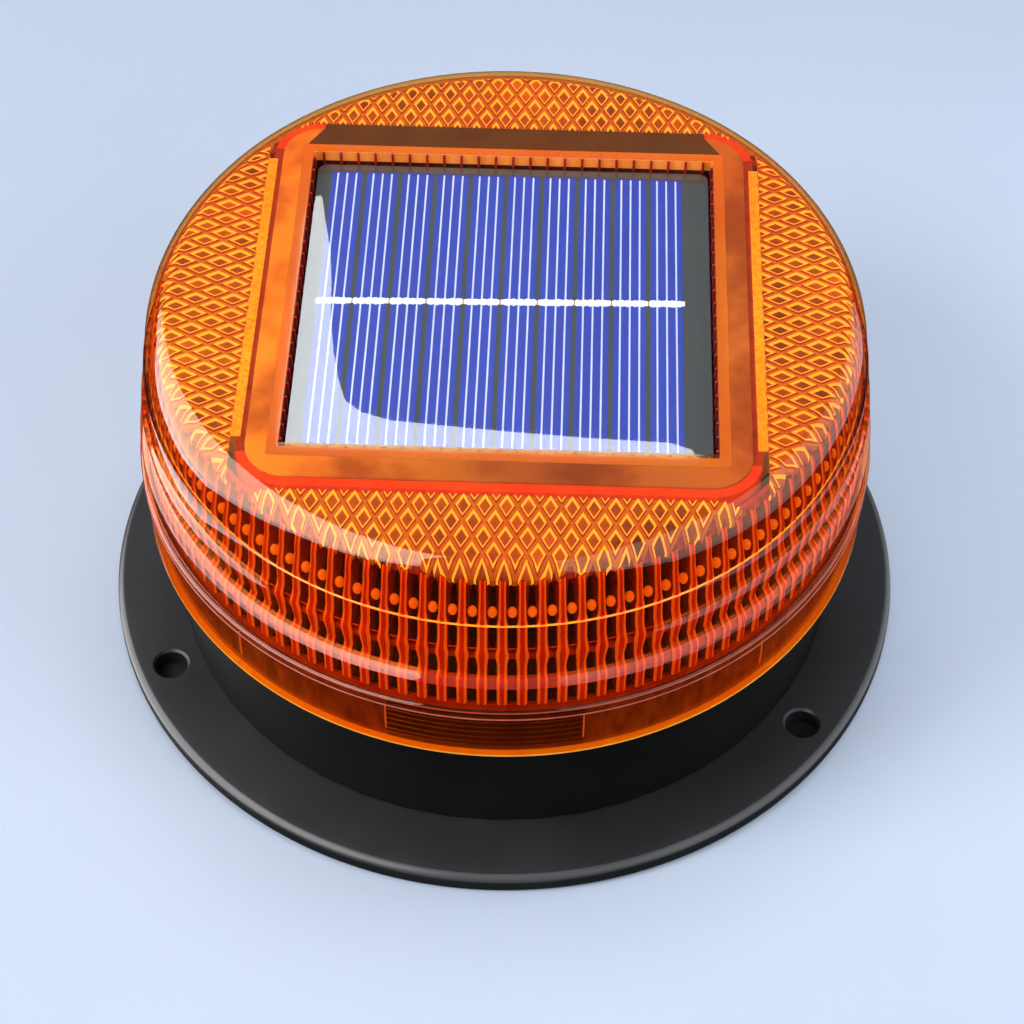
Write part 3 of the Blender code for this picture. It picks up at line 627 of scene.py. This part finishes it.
def make_tray(shell_look, wall_look, shadow_gap_look, tick_look):
    """The square tray that holds the panel, with upright ticks along its walls."""
    corner, recess_corner = 0.6 * MM, 0.3 * MM
    bm = bmesh.new()
    top = LENS_TOP - SKIN - 0.05 * MM
    outer = [rectangle(TRAY_HALF, TRAY_HALF, corner, z, 3) for z in (top, TRAY_UNDER)]
    lit = PANEL_TOP + 0.1 * MM
    inner = [rectangle(RECESS_HALF, RECESS_HALF, recess_corner, z, 3) for z in (TRAY_FLOOR, lit, top)]
    outside = loft(bm, outer, False)
    inside = loft(bm, inner, False, [1, 2])
    bm.faces.new(outside[-1]).material_index = 1
    bm.faces.new(inside[0]).material_index = 1
    upper, lower = outside[0], inside[-1]
    for j in range(len(upper)):
        k = (j + 1) % len(upper)
        bm.faces.new((upper[j], upper[k], lower[k], lower[j]))
    # Painted shade: every inner wall but the back one takes the dark floor look.
    for face in bm.faces:
        if face.material_index == 2 and face.calc_center_median().y < RECESS_HALF - 0.4 * MM:
            face.material_index = 1
    finish("lens_tray", bm, [shell_look, shadow_gap_look, wall_look], angle=30)
    bm = bmesh.new()
    pitch, size = 2.9 * MM, 0.22 * MM
    foot = PANEL_TOP - 2 * MM
    for side in range(4):
        spin = Matrix.Rotation(math.pi / 2 * side, 4, "Z")
        for k in range(-11, 12):
            at = (k * pitch, RECESS_HALF - size, (foot + top) / 2)
            block(bm, at, (2 * size, 2 * size, top - foot), spin)
    bmesh.ops.bevel(bm, geom=list(bm.edges), offset=0.06 * MM, segments=1, affect="EDGES")
    finish("lens_tray_ticks", bm, [tick_look])


# Bearings of the skirt's ribbed patches and of its seams, in degrees
SKIRT_PATCHES, PATCH_HALF = [-91.2 + 90 * k for k in range(4)], 15.0
SKIRT_SEAMS = (-133, -45, 47, 135)
PATCH_RIBS = (28.0, 28.9, 30.2, 31.5, 32.7, 33.9, 35.0)
SKIRT_MIDDLE = 31.5 * MM
# The layer behind the skirt's skin: its outer and inner radius, and its top
LAYER_R = SKIRT_R - SKIN - 0.25 * MM
LAYER_IN, LAYER_TOP = LAYER_R - 0.5 * MM, SKIRT_TOP + 0.2 * MM


def skirt_rib(bm, turn, half, z, rise, proud, look):
    """A ridge about the bearing turn: half its width in degrees, and half its height."""
    foot = LAYER_R - 0.05 * MM
    count = max(1, int(half * 2))
    loops = []
    for k in range(count + 1):
        at = turn + mix(-half, half, k / count)
        loops.append([polar(foot, at, z + rise), polar(LAYER_R + proud, at, z), polar(foot, at, z - rise)])
    start = len(bm.faces)
    loft(bm, loops, False, capped=True)
    bm.faces.ensure_lookup_table()
    for face in bm.faces[start:]:
        face.material_index = look


def make_skirt(dark, streaked, line, seam, rim, bead_highlight):
    """The layer behind the skirt's skin, darker in four ribbed patches, its bright rim with a painted glow,
    bright seams with a painted glow, and two thin rings on the bead as painted highlights.
    """
    foot = SKIRT_Z + RIM
    chamfer = 0.3 * MM
    layer = turned("lens_skirt", [(LAYER_R, LAYER_TOP), (LAYER_R, foot), (LAYER_IN, foot),
                                  (LAYER_IN, LAYER_TOP)], [streaked, dark], around=360)
    for face in layer.data.polygons:
        degrees = math.degrees(math.atan2(face.center.y, face.center.x))
        for middle in SKIRT_PATCHES:
            if abs((degrees - middle + 180) % 360 - 180) < PATCH_HALF:
                face.material_index = 1
    edge = turned("lens_rim", [(SKIRT_R, foot), (SKIRT_R, SKIRT_Z + chamfer), (SKIRT_R - chamfer, SKIRT_Z),
                               (LAYER_IN, SKIRT_Z), (LAYER_IN, foot)], [rim])
    # Painted highlight: two thin rings stand in for the lines the bead mirrors.
    for name, z, r in (("lens_bead_upper", 37.95, 61.0), ("lens_bead_lower", 36.45, 61.05)):
        turned(name, arc((r * MM, z * MM), 0.12 * MM, 0, 300, 5), [bead_highlight])
    bm = bmesh.new()
    for middle in SKIRT_PATCHES:
        for z in PATCH_RIBS:
            skirt_rib(bm, middle, PATCH_HALF - 0.3, z * MM, 0.13 * MM, 0.12 * MM, 0)
        for end in (-PATCH_HALF, PATCH_HALF):
            skirt_rib(bm, middle + end, 0.12, SKIRT_MIDDLE, 4.0 * MM, 0.14 * MM, 1)
    for turn in SKIRT_SEAMS:
        skirt_rib(bm, turn, 0.16, SKIRT_MIDDLE, 4.2 * MM, 0.14 * MM, 1)
    finish("lens_skirt_lines", bm, [line, seam])


POST_X, POST_Y = 35.8 * MM, 22.0 * MM
POST_OUTLINE = ((1.3, 57.8), (3.1, 57.8), (3.5, 58.2), (3.5, 66.6), (1.3, 66.6))  # radius and height, mm


def make_posts(front, back):
    """Four hollow posts under the top plate, cut flat where they meet the tray."""
    nearest = TRAY_HALF + 0.1 * MM
    bm = bmesh.new()
    for sx in (-1, 1):
        for sy in (-1, 1):
            loops = []
            for r, z in POST_OUTLINE:
                loop = [Vector((POST_X, POST_Y, 0)) + p for p in circle(r * MM, z * MM, 24)]
                loops.append([Vector((sx * max(p.x, nearest), sy * p.y, p.z)) for p in loop])
            loft(bm, loops, True, 0 if sy < 0 else 1)
    finish("lens_posts", bm, [front, back])


# ------ base and flange
def carved(item, cutters):
    """Cut solids out of a piece and keep only the result."""
    for cutter in cutters:
        step = item.modifiers.new("cut", "BOOLEAN")
        step.operation = "DIFFERENCE"
        step.solver = "EXACT"
        step.object = cutter
    graph = bpy.context.evaluated_depsgraph_get()
    mesh = bpy.data.meshes.new_from_object(item.evaluated_get(graph))
    item.modifiers.clear()
    item.data = mesh
    mesh.shade_smooth()
    mesh.set_sharp_from_angle(angle=math.radians(35))
    for cutter in cutters:
        bpy.data.objects.remove(cutter)
    return item


def plug(radius, low, high, at, sides=32, flare=0.0):
    """A round cutter, wider at its top by flare."""
    bm = bmesh.new()
    bmesh.ops.create_cone(bm, cap_ends=True, segments=sides, radius1=radius, radius2=radius + flare,
                          depth=high - low)
    bmesh.ops.translate(bm, verts=bm.verts, vec=(at[0], at[1], (low + high) / 2))
    return finish("cutter", bm, [], body=None, smooth=False)


MOUNT_HOLE_R, MOUNT_HOLE_AT, MOUNT_ANGLES = 2.8 * MM, 62.5 * MM, (-154.5, -34.5, 85.5)
SCREW_AT, SCREW_ANGLES = 51.0 * MM, (-94.5, 25.5, 145.5)
SCREW_R, SINK_R, SINK = 1.6 * MM, 3.2 * MM, 1.7 * MM


def make_flange(material, lip):
    """The flange, with a rounded lip whose lighter top is a painted highlight, its mounting holes and its
    counterbored screw holes.
    """
    inner, edge, under_edge = 46.8 * MM, 1.3 * MM, 0.5 * MM
    outline = [(inner, FLANGE_TOP), (57.7 * MM, FLANGE_TOP), (66 * MM, FLANGE_TOP)]
    outline += arc((FLANGE_R - edge, FLANGE_TOP - edge), edge, 90, 0, 8)
    outline += arc((FLANGE_R - under_edge, under_edge), under_edge, 0, -90, 4)
    outline += [(inner, 0.0)]
    # Painted highlight: the upper faces of the lip take the lighter lip look.
    highlight_foot = FLANGE_TOP - 0.75 * edge
    indices = [1 if r > FLANGE_R - edge and z > highlight_foot else 0 for r, z in outline]
    item = turned("flange_plate", outline, [material, lip], around=288, indices=indices)
    lap = 1 * MM
    chamfer_low, chamfer_high, chamfer = FLANGE_TOP - 0.4 * MM, FLANGE_TOP + 0.1 * MM, 0.5 * MM
    cutters = []
    for degrees in MOUNT_ANGLES:
        at = polar(MOUNT_HOLE_AT, degrees)
        cutters.append(plug(MOUNT_HOLE_R, -lap, FLANGE_TOP + lap, at))
        cutters.append(plug(MOUNT_HOLE_R, chamfer_low, chamfer_high, at, flare=chamfer))
    for degrees in SCREW_ANGLES:
        at = polar(SCREW_AT, degrees)
        cutters.append(plug(SCREW_R, -lap, FLANGE_TOP + lap, at, 20))
        cutters.append(plug(SINK_R, -lap, SINK, at, 24))
    carved(item, cutters)
    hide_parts("mounting_flange")


# ------ the panel
SHEET_TOP, CELL_TOP, FILM_LOW = PANEL_TOP - 0.2 * MM, PANEL_TOP - 0.14 * MM, PANEL_TOP - 0.07 * MM
CELLS = sorted(n for n in NODES if n.startswith("solar_cell_"))


def slab(name, outline, low, high, round_r, material):
    """A flat piece with a rounded upper edge; outline gives its loop for a shrink and a height."""
    bm = bmesh.new()
    loops = [outline(0.0, low)]
    bend = 4
    for k in range(bend + 1):
        a = math.radians(90 * k / bend)
        loops.append(outline(round_r * (1 - math.cos(a)), high - round_r + round_r * math.sin(a)))
    rows = loft(bm, loops, False)
    ends = [bm.faces.new(rows[0]), bm.faces.new(rows[-1])]
    flat = [round(end.calc_center_median().z, 6) for end in ends]
    item = finish(name, bm, [material], angle=40)
    for face in item.data.polygons:
        if len(face.vertices) > 4 and round(face.center.z, 6) in flat:
            face.use_smooth = False
    return item


def make_panel(resin, backing, silicon):
    """The solar panel as it looks through its thin clear resin: backing, ten cells and the film."""
    def outline(shrink, z):
        return rectangle(PANEL_HALF - shrink, PANEL_HALF - shrink, 1.6 * MM - shrink, z, 6)

    sheet = slab("panel_backing", outline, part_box("panel_board")[0].z, SHEET_TOP, 0.1 * MM, backing)
    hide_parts("panel_board")
    film = slab("panel_resin_sheet", outline, FILM_LOW, PANEL_TOP, 0.05 * MM, resin)
    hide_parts("panel_resin")
    for name in CELLS:
        low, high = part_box(name)
        middle, half = (low + high) / 2, (high - low) / 2

        def cell(shrink, z):
            return [p + Vector((middle.x, middle.y, 0))
                    for p in rectangle(half.x - shrink, half.y - shrink, 0.1 * MM, z, 2)]

        item = slab("cell_face_" + name[-2:], cell, SHEET_TOP + 0.01 * MM, CELL_TOP, 0.01 * MM, silicon)
        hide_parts(name)


def make_cell_lines(silver, solder):
    """Three silver fingers on each cell, and the uneven soldered busbar across them."""
    finger, apart = 0.28 * MM, 0.3      # a finger's width, and the share of a cell's width between two
    level, tilt, over = 0.95 * MM, math.radians(1.4), 0.32 * MM
    length, width = CELL_HIGH.y, CELL_HIGH.x - CELL_LOW.x
    middles = [sum(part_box(name), Vector()).x / 2 for name in CELLS]
    bm = bmesh.new()
    for middle in middles:
        for k in (-1, 0, 1):
            at = (middle + k * width * apart, 0, CELL_TOP + 0.03 * MM)
            block(bm, at, (finger, 2 * length - 0.6 * MM, 0.04 * MM))
    bmesh.ops.bevel(bm, geom=list(bm.edges), offset=0.012 * MM, segments=1, affect="EDGES")
    finish("cell_fingers", bm, [silver])
    bm = bmesh.new()
    steps, reach, sides = 14, width / 2 + over, 6
    foot, height = CELL_TOP + 0.01 * MM, 0.22 * MM
    for middle in middles:
        loops = []
        for j in range(steps + 1):
            x = middle + mix(-reach, reach, j / steps)
            swell = 0.72 + 0.12 * math.sin(j * 2.4 + middle * 900) + random.uniform(-0.08, 0.08)
            swell *= 1.0 if 0 < j < steps else 0.7
            y = level + x * math.tan(tilt) + random.uniform(-0.05, 0.05) * MM
            loops.append([Vector((x, y + swell * MM * math.cos(a), foot + height * math.sin(a)))
                          for a in (math.pi * i / sides for i in range(sides + 1))])
        loft(bm, loops, False, capped=True)
    finish("cell_busbar", bm, [solder], angle=60)


# ------ camera, lights and floor
def make_camera():
    """The camera that the photo was taken with, as fitted; angles in degrees."""
    target_z = 47.6 * MM
    distance, elevation, roll, spin = 435.8 * MM, 49.2104, 0.5018, 1.575
    side, drop, lens = 1.218 * MM, -21.51 * MM, 92.57
    e, roll = math.radians(elevation), math.radians(roll)
    back, right = Vector((0, -math.cos(e), math.sin(e))), Vector((1, 0, 0))
    up = Vector((0, math.sin(e), math.cos(e)))
    x_axis = math.cos(roll) * right + math.sin(roll) * up
    y_axis = -math.sin(roll) * right + math.cos(roll) * up
    place = back * distance + right * side + up * drop + Vector((0, 0, target_z))
    matrix = Matrix((x_axis, y_axis, back)).transposed().to_4x4()
    matrix.translation = place
    data = bpy.data.cameras.new("camera")
    data.lens = lens
    data.sensor_width = 36.0
    data.clip_start = 0.01
    camera = add_object("camera", data)
    camera.matrix_world = Matrix.Rotation(math.radians(spin), 4, "Z") @ matrix
    bpy.context.scene.camera = camera
    return camera


def soft_light(name, at, aim, size, power, colour):
    """A round area light that no mirror shows."""
    data = bpy.data.lights.new(name, "AREA")
    data.shape = "DISK"
    data.size = size
    data.energy = power
    data.color = colour
    item = add_object(name, data)
    item.location = at
    item.rotation_euler = (Vector(aim) - Vector(at)).to_track_quat("-Z", "Y").to_euler()
    item.visible_glossy = False


def reflector(name, glow_name, bm, strength, colour):
    """A glowing card that only shows as a reflection."""
    look = Look(glow_name)
    glow = look.done(look.node("Emission", Color=colour, Strength=strength))
    item = finish(name, bm, [glow], body=None, smooth=False)
    for rays in ("camera", "diffuse", "shadow", "transmission"):
        setattr(item, "visible_" + rays, False)


CARD_DISTANCE, CARD_COLUMNS, CARD_ROWS = 2.0, 48, 6


def sky_card(name, lower, upper, strength, colour):
    """A far card that spans a part of the sky, between (bearing, elevation) edges."""
    bm = bmesh.new()
    start, end = lower[0][0], lower[-1][0]
    rows = []
    for k in range(CARD_COLUMNS + 1):
        turn = mix(start, end, k / CARD_COLUMNS)
        low, high = along(lower, turn), along(upper, turn)
        row = []
        for j in range(CARD_ROWS + 1):
            a = math.radians(mix(low, high, j / CARD_ROWS))
            row.append(bm.verts.new(polar(CARD_DISTANCE * math.cos(a), turn, CARD_DISTANCE * math.sin(a))))
        rows.append(row)
    for a, b in zip(rows, rows[1:]):
        for j in range(CARD_ROWS):
            bm.faces.new((a[j], b[j], b[j + 1], a[j + 1]))
    reflector(name, name + "_glow", bm, strength, colour)


# Edges of the two large soft boxes, as (bearing, elevation) in degrees
LEFT_LOWER = ((136, 27), (147, -3), (152, -28), (159, -38), (174, -36), (200, -17), (216, -4), (232, 4),
              (249, 15))
LEFT_UPPER = ((136, 29), (147, 56), (165, 66), (205, 68), (249, 64))
RIGHT_LOWER = ((-73, 15), (-63, 5), (-53, -4), (-42, -14), (-30, -19), (-10, -26), (45, -28))
RIGHT_UPPER = ((-73, 49), (-32, 61), (0, 45), (45, 20))


# Where the pale window reflection lies on the panel (mm): its inner edge, then its outer corners
REFLECTION_EDGE = ((-31.6, 24.7), (-30.6, 19.0), (-29.2, 12.0), (-28.4, 4.0), (-28.0, -3.0), (-26.9, -11.0),
                   (-25.6, -17.5), (-24.2, -21.8), (-21.6, -24.1), (-16.8, -25.7), (-4.0, -26.9),
                   (12.0, -28.1), (26.4, -28.7), (29.4, -30.0), (30.8, -32.5))
REFLECTION_CORNERS = ((30.8, -33.6), (-33.6, -33.6), (-33.6, 16.0), (-32.6, 24.7))


def make_panel_card(camera):
    """A shaped card which the flat panel mirrors towards the camera."""
    eye = camera.matrix_world.translation.copy()
    eye.z = 2 * PANEL_TOP - eye.z
    reach = 2.2
    spots = [Vector((x * MM, y * MM, PANEL_TOP)) for x, y in REFLECTION_EDGE + REFLECTION_CORNERS]
    points = [eye + (spot - eye) * reach for spot in spots]
    bm = bmesh.new()
    face = bm.faces.new([bm.verts.new(p) for p in points])
    bmesh.ops.triangulate(bm, faces=[face])
    reflector("panel_reflector", "panel_glow", bm, 7.0, (0.93, 0.97, 1.0))


def make_floor():
    """The pale floor, and a dark ring under the flange, a painted shadow which deepens its holes."""
    bm = bmesh.new()
    rows = loft(bm, [circle(r, -0.1 * MM, 64) for r in (0.02, 0.4, 3.0)], False)
    bm.faces.new(rows[0])
    look = Look("floor_paint")
    cloud = look.noise(6.0, 3.0)
    paint = look.ramp(cloud, [(0.3, (0.44, 0.52, 0.66)), (0.7, (0.47, 0.55, 0.69))])
    shader = look.node("BsdfPrincipled", Base_Color=paint, Roughness=0.6)
    floor = finish("floor", bm, [look.done(shader)], body=None)
    floor.visible_glossy = False
    bm = bmesh.new()
    loft(bm, [circle(r, -0.05 * MM, 64) for r in (FLANGE_R - 10 * MM, FLANGE_R - 2 * MM)], False)
    dark = plastic("shadow_pad", (0.004, 0.004, 0.005), (0.006, 0.006, 0.007), (0.8, 0.9))
    finish("floor_shadow", bm, [dark], body=None)


def make_world():
    """Pale sky, and dark below the horizon so that steep walls mirror little."""
    world = bpy.data.worlds.new("studio")
    world.use_nodes = True
    tree = world.node_tree
    coords = tree.nodes.new("ShaderNodeTexCoord")
    split = tree.nodes.new("ShaderNodeSeparateXYZ")
    ramp = tree.nodes.new("ShaderNodeValToRGB")
    dark, pale = ramp.color_ramp.elements
    dark.position, dark.color = 0.0, (0.012, 0.012, 0.014, 1)
    pale.position, pale.color = 0.25, (0.5, 0.54, 0.6, 1)
    tree.links.new(coords.outputs["Generated"], split.inputs[0])
    tree.links.new(split.outputs["Z"], ramp.inputs[0])
    tree.links.new(ramp.outputs[0], tree.nodes["Background"].inputs["Color"])
    tree.nodes["Background"].inputs["Strength"].default_value = 0.5
    bpy.context.scene.world = world


def make_studio():
    """Camera, floor, lights and mirrored cards."""
    camera = make_camera()
    make_world()
    make_floor()
    lamp = (0, 0, 0.04)
    soft_light("key_light", (-0.42, -0.18, 0.5), lamp, 0.3, 3.0, (1.0, 0.97, 0.94))
    soft_light("fill_light", (0.45, -0.25, 0.4), lamp, 0.35, 1.6, (0.95, 0.97, 1.0))
    soft_light("side_light", (0.22, 0.03, 0.11), (0.062, 0.0, 0.0), 0.08, 0.12, (1.0, 0.98, 0.97))
    soft_light("top_light", (0.0, 0.1, 0.6), (0, 0, 0.05), 0.3, 1.5, (1, 1, 1))
    soft_light("inner_light", (0.0, 0.0, 59.0 * MM), (0, 0, 0), 0.066, 0.05, (1, 1, 1))
    make_panel_card(camera)
    sky_card("left_reflector", LEFT_LOWER, LEFT_UPPER, 4.6, (1.0, 0.96, 0.96))
    sky_card("right_reflector", RIGHT_LOWER, RIGHT_UPPER, 1.3, (0.95, 0.97, 1.0))
    bpy.context.scene.view_settings.view_transform = "Standard"


# ------ looks of the carried-over parts
def silicon_look():
    """Blue silicon, with faint flakes and streaks along the cell."""
    look = Look("silicon_blue")
    flake = look.node("TexVoronoi", Vector=look.coords(), Scale=420.0)
    broad = look.noise(55.0, 3.0, stretch=(1, 0.2, 1))
    colour = look.ramp(broad, [(0.3, (0.016, 0.04, 0.36)), (0.7, (0.028, 0.06, 0.44))])
    tone = look.node("MixRGB", {"blend_type": "MULTIPLY"}, Fac=0.12, Color1=colour,
                     Color2=flake.outputs["Color"])
    shader = look.node("BsdfPrincipled", Base_Color=tone, Roughness=look.span(broad, 0.25, 0.4))
    return look.done(shader)


def resin_look():
    """Clear resin: seen through, with a sharp reflection."""
    look = Look("resin_clear")
    ripple = look.bump(look.noise(30.0, 2.0), 0.02, 0.02 * MM)
    through = look.node("BsdfTransparent", Color=(0.98, 0.99, 1.0))
    gloss = look.node("BsdfGlossy", Color=(1, 1, 1), Roughness=0.012, Normal=ripple)
    return look.done(look.blend(look.mirror_share(0.043), through, gloss))


def dress(look, *patterns):
    """Put a look on the carried-over parts with names like these."""
    for name, item in NODES.items():
        if any(fnmatch.fnmatch(name, pattern) for pattern in patterns):
            item.data.materials.clear()
            item.data.materials.append(look)


def dress_nodes():
    """Looks of the carried-over parts; returns the black plastic and the tin."""
    black = plastic("black_moulded", (0.013, 0.014, 0.016), (0.018, 0.019, 0.022), (0.36, 0.48))
    tin = metal("tin_bright", (0.62, 0.62, 0.62), (0.8, 0.8, 0.8))
    dress(black, "battery_holder")
    dress(tin, "filter_capacitor", "battery_plate", "battery_spring")
    dress(metal("screw_zinc", (0.45, 0.45, 0.46), (0.62, 0.62, 0.63)), "*screw*")
    dress(plastic("drum_black", (0.004, 0.002, 0.002), (0.007, 0.003, 0.003), (0.5, 0.7)), "inner_drum")
    # The cup is black plastic, made darker and less shiny than the flange as painted shade on its upright
    # wall.
    dress(plastic("cup_black_painted_shade", (0.0025, 0.0026, 0.003), (0.0035, 0.0037, 0.0042), (0.6, 0.75), shine=0.12),
          "base_cup")
    dress(plastic("board_white", (0.72, 0.7, 0.64), (0.82, 0.8, 0.75)), "led_board", "wire_connector")
    dress(plastic("board_green", (0.012, 0.13, 0.05), (0.02, 0.2, 0.08), (0.3, 0.45)), "control_board")
    dress(plastic("chip_moulded", (0.02, 0.02, 0.02), (0.035, 0.035, 0.035), (0.5, 0.65)), "control_chip",
          "charge_diode", "light_sensor", "switch_body")
    dress(plastic("rubber_black", (0.018, 0.018, 0.018), (0.03, 0.03, 0.03), (0.7, 0.85), 1500.0), "*_seal")
    dress(plastic("ferrite_grey", (0.06, 0.055, 0.05), (0.13, 0.11, 0.1), (0.5, 0.7)), "boost_inductor")
    dress(plastic("wrap_blue", (0.03, 0.09, 0.36), (0.05, 0.13, 0.48), (0.25, 0.35), coat=0.4),
          "battery_cell")
    dress(plastic("wire_red", (0.5, 0.012, 0.01), (0.68, 0.02, 0.015)), "*wire_red")
    dress(plastic("wire_black", (0.012, 0.012, 0.012), (0.022, 0.022, 0.022), (0.4, 0.5)), "*wire_black")
    dress(plastic("button_red", (0.46, 0.02, 0.015), (0.58, 0.03, 0.02), (0.3, 0.45)), "power_button")
    dress(plastic("led_yellow", (0.8, 0.58, 0.12), (0.95, 0.78, 0.25), (0.3, 0.5)), "led_[0-9]*")
    # The adhesive is real; its dark red also stands in as painted shade for the shadow in the gap round the
    # panel.
    dress(plastic("glue_dark_shadow_gap", (0.16, 0.015, 0.008), (0.24, 0.03, 0.012), (0.5, 0.7)), "panel_adhesive")
    return black, tin


def make_lens():
    """All pieces of the lens, each group with its looks."""
    make_skin(clear_amber())
    # Rib looks are lit and shaded copies of one amber: painted highlight on the edges, painted shade on the
    # flanks; edges and middle also have a painted glow.
    edge = amber("rib", (1, 0.28, 0.24), (1, 0.46, 0.36), 0.2, 0.5, (1, 0.18, 0.06))
    core = amber("core_red", (0.62, 0.03, 0.05), (0.9, 0.09, 0.1), 0.2, 0.15, (1, 0.04, 0.02))
    flank_shade = amber("flank_shade", (0.22, 0.012, 0.02), (0.42, 0.03, 0.03), 0.3)
    make_flutes(edge, core, flank_shade)
    web = amber("web", (0.55, 0.05, 0.05), (0.8, 0.12, 0.08), 0.3)
    # Painted glow on the ridge, and on the moulding line, whose bright yellow is a painted highlight.
    ridge = amber("ridge", (0.7, 0.08, 0.06), (0.95, 0.18, 0.12), 0.3, 0.1, (1, 0.08, 0.02))
    line = amber("line", (1, 0.75, 0.5), (1, 0.9, 0.6), 0.25, 1.2, (1, 0.65, 0.25))
    make_bands(web, ridge, line)
    # The dots' glow is painted light.
    dot = amber("dot", (0.95, 0.5, 0.3), (1, 0.62, 0.4), 0.2, 0.35, (1, 0.32, 0.08))
    make_dots(dot)
    # Diamond looks: the bright edge is a painted highlight with a painted glow, the dark groove painted
    # shade, and the band has a faint painted glow.
    band = amber("band", (0.6, 0.4, 0.26), (0.8, 0.66, 0.44), 0.3, 0.04, (1, 0.4, 0.05), 90.0)
    groove = amber("groove", (0.45, 0.14, 0.1), (0.62, 0.2, 0.14), 0.4)
    bright = amber("edge", (1, 0.85, 0.6), (1, 0.95, 0.8), 0.2, 1.3, (1, 0.75, 0.25))
    centre = amber("core", (0.1, 0.05, 0.07), (0.72, 0.4, 0.24), 0.35, scale=60.0)
    make_diamonds(band, groove, bright, centre)
    # The frame's red front has a painted glow.
    red = amber("red", (0.9, 0.14, 0.12), (1, 0.26, 0.16), 0.25, 0.12, (1, 0.12, 0.06))
    side = amber("side", (0.34, 0.08, 0.1), (0.55, 0.16, 0.14), 0.3)
    shade = amber("shade", (0.045, 0.07, 0.28), (0.08, 0.12, 0.4), 0.35, scale=120.0, thin=0.0)
    make_border(red, side, shade)
    make_film(film_look(), shade)
    make_stops(amber("stop", (0.1, 0.05, 0.05), (0.16, 0.08, 0.07), 0.3))
    # The strips' glow is painted light.
    make_strips(amber("strip", (0.8, 0.4, 0.12), (1, 0.95, 0.7), 0.3, 0.8, (1, 0.62, 0.08),
                            1500.0))
    # The tray's back wall has a painted glow; its dark floor look is painted shade on the other inner walls.
    tray = amber("tray", (0.8, 0.2, 0.03), (0.95, 0.28, 0.04), 0.3, 0.2, (1, 0.24, 0.01),
                       thin=0.0)
    floor = amber("floor", (0.035, 0.002, 0.002), (0.06, 0.004, 0.003), 0.6, thin=0.0)
    tick = amber("tick", (0.35, 0.01, 0.006), (0.5, 0.02, 0.01), 0.4)
    make_tray(amber_shell(), tray, floor, tick)
    dark = amber("patch", (0.02, 0.002, 0.002), (0.035, 0.004, 0.003), 0.4, thin=0.0)
    patch = amber("patch_line", (0.12, 0.012, 0.01), (0.18, 0.02, 0.014), 0.3, thin=0.0)
    streaked = amber("skirt", (0.2, 0.06, 0.04), (0.46, 0.16, 0.11), 0.25, scale=420.0)
    # The seams and the rim glow as painted light; the bead rings are painted highlights.
    seam = amber("seam", (1, 0.4, 0.3), (1, 0.5, 0.4), 0.2, 0.3, (1, 0.25, 0.1))
    rim = amber("rim", (1, 0.42, 0.03), (1, 0.6, 0.06), 0.2, 0.25, (1, 0.45, 0.01))
    bead_highlight = amber("bead_highlight", (0.55, 0.13, 0.09), (0.75, 0.24, 0.17), 0.15)
    make_skirt(dark, streaked, patch, seam, rim, bead_highlight)
    make_posts(amber("post", (0.85, 0.4, 0.22), (1, 0.55, 0.3), 0.3),
               amber("post_dark", (0.1, 0.05, 0.05), (0.2, 0.09, 0.08), 0.3))


def round_off_nodes():
    """Smooth shading on the carried-over round parts, with their true corners kept sharp."""
    for item in NODES.values():
        if item.hide_render:
            continue
        custom = item.data.attributes.get("custom_normal")
        if custom:
            item.data.attributes.remove(custom)
        item.data.shade_smooth()
        weld = item.modifiers.new("weld", "WELD")
        weld.merge_threshold = 1e-6
        split = item.modifiers.new("corners", "EDGE_SPLIT")
        split.split_angle = math.radians(32)


def make_spring(material):
    """The coil under the power button, at rest."""
    turns, per_turn, wire = 3, 24, 0.3 * MM
    flat = 0.12             # share of the coil that lies flat at each end
    low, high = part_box("button_spring")
    middle = (low + high) / 2
    radius = (high.x - low.x) / 2 - wire
    z_low, z_high = low.z + wire, high.z - wire
    bm = bmesh.new()
    loops = []
    steps = turns * per_turn
    for k in range(steps + 1):
        t = k / steps
        rise = min(1.0, max(0.0, (t - flat) / (1 - 2 * flat)))
        out = polar(1.0, 360 * turns * t)
        at = Vector((middle.x, middle.y, mix(z_low, z_high, rise))) + out * radius
        loops.append([at + out * wire * math.cos(a) + Vector((0, 0, wire * math.sin(a)))
                      for a in (math.pi * j / 4 for j in range(8))])
    loft(bm, loops, False, capped=True)
    item = finish("button_spring_coil", bm, [material], angle=60)
    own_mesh(item)
    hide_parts("button_spring")


black_plastic, tin_metal = dress_nodes()
make_lens()
make_flange(black_plastic,
            plastic("flange_lip_highlight", (0.05, 0.051, 0.054), (0.07, 0.071, 0.074), (0.25, 0.35)))
make_panel(resin_look(),
           plastic("panel_back_sheet", (0.045, 0.05, 0.047), (0.056, 0.061, 0.057), (0.4, 0.55)),
           silicon_look())
make_cell_lines(plastic("finger_silver", (0.6, 0.63, 0.92), (0.74, 0.77, 1.0)),
                plastic("solder_bright", (0.8, 0.8, 0.8), (1, 1, 1), (0.25, 0.5), grain=1400.0,
                        depth=0.2, coat=0.3, patches=500.0))
make_spring(tin_metal)
round_off_nodes()
make_studio()
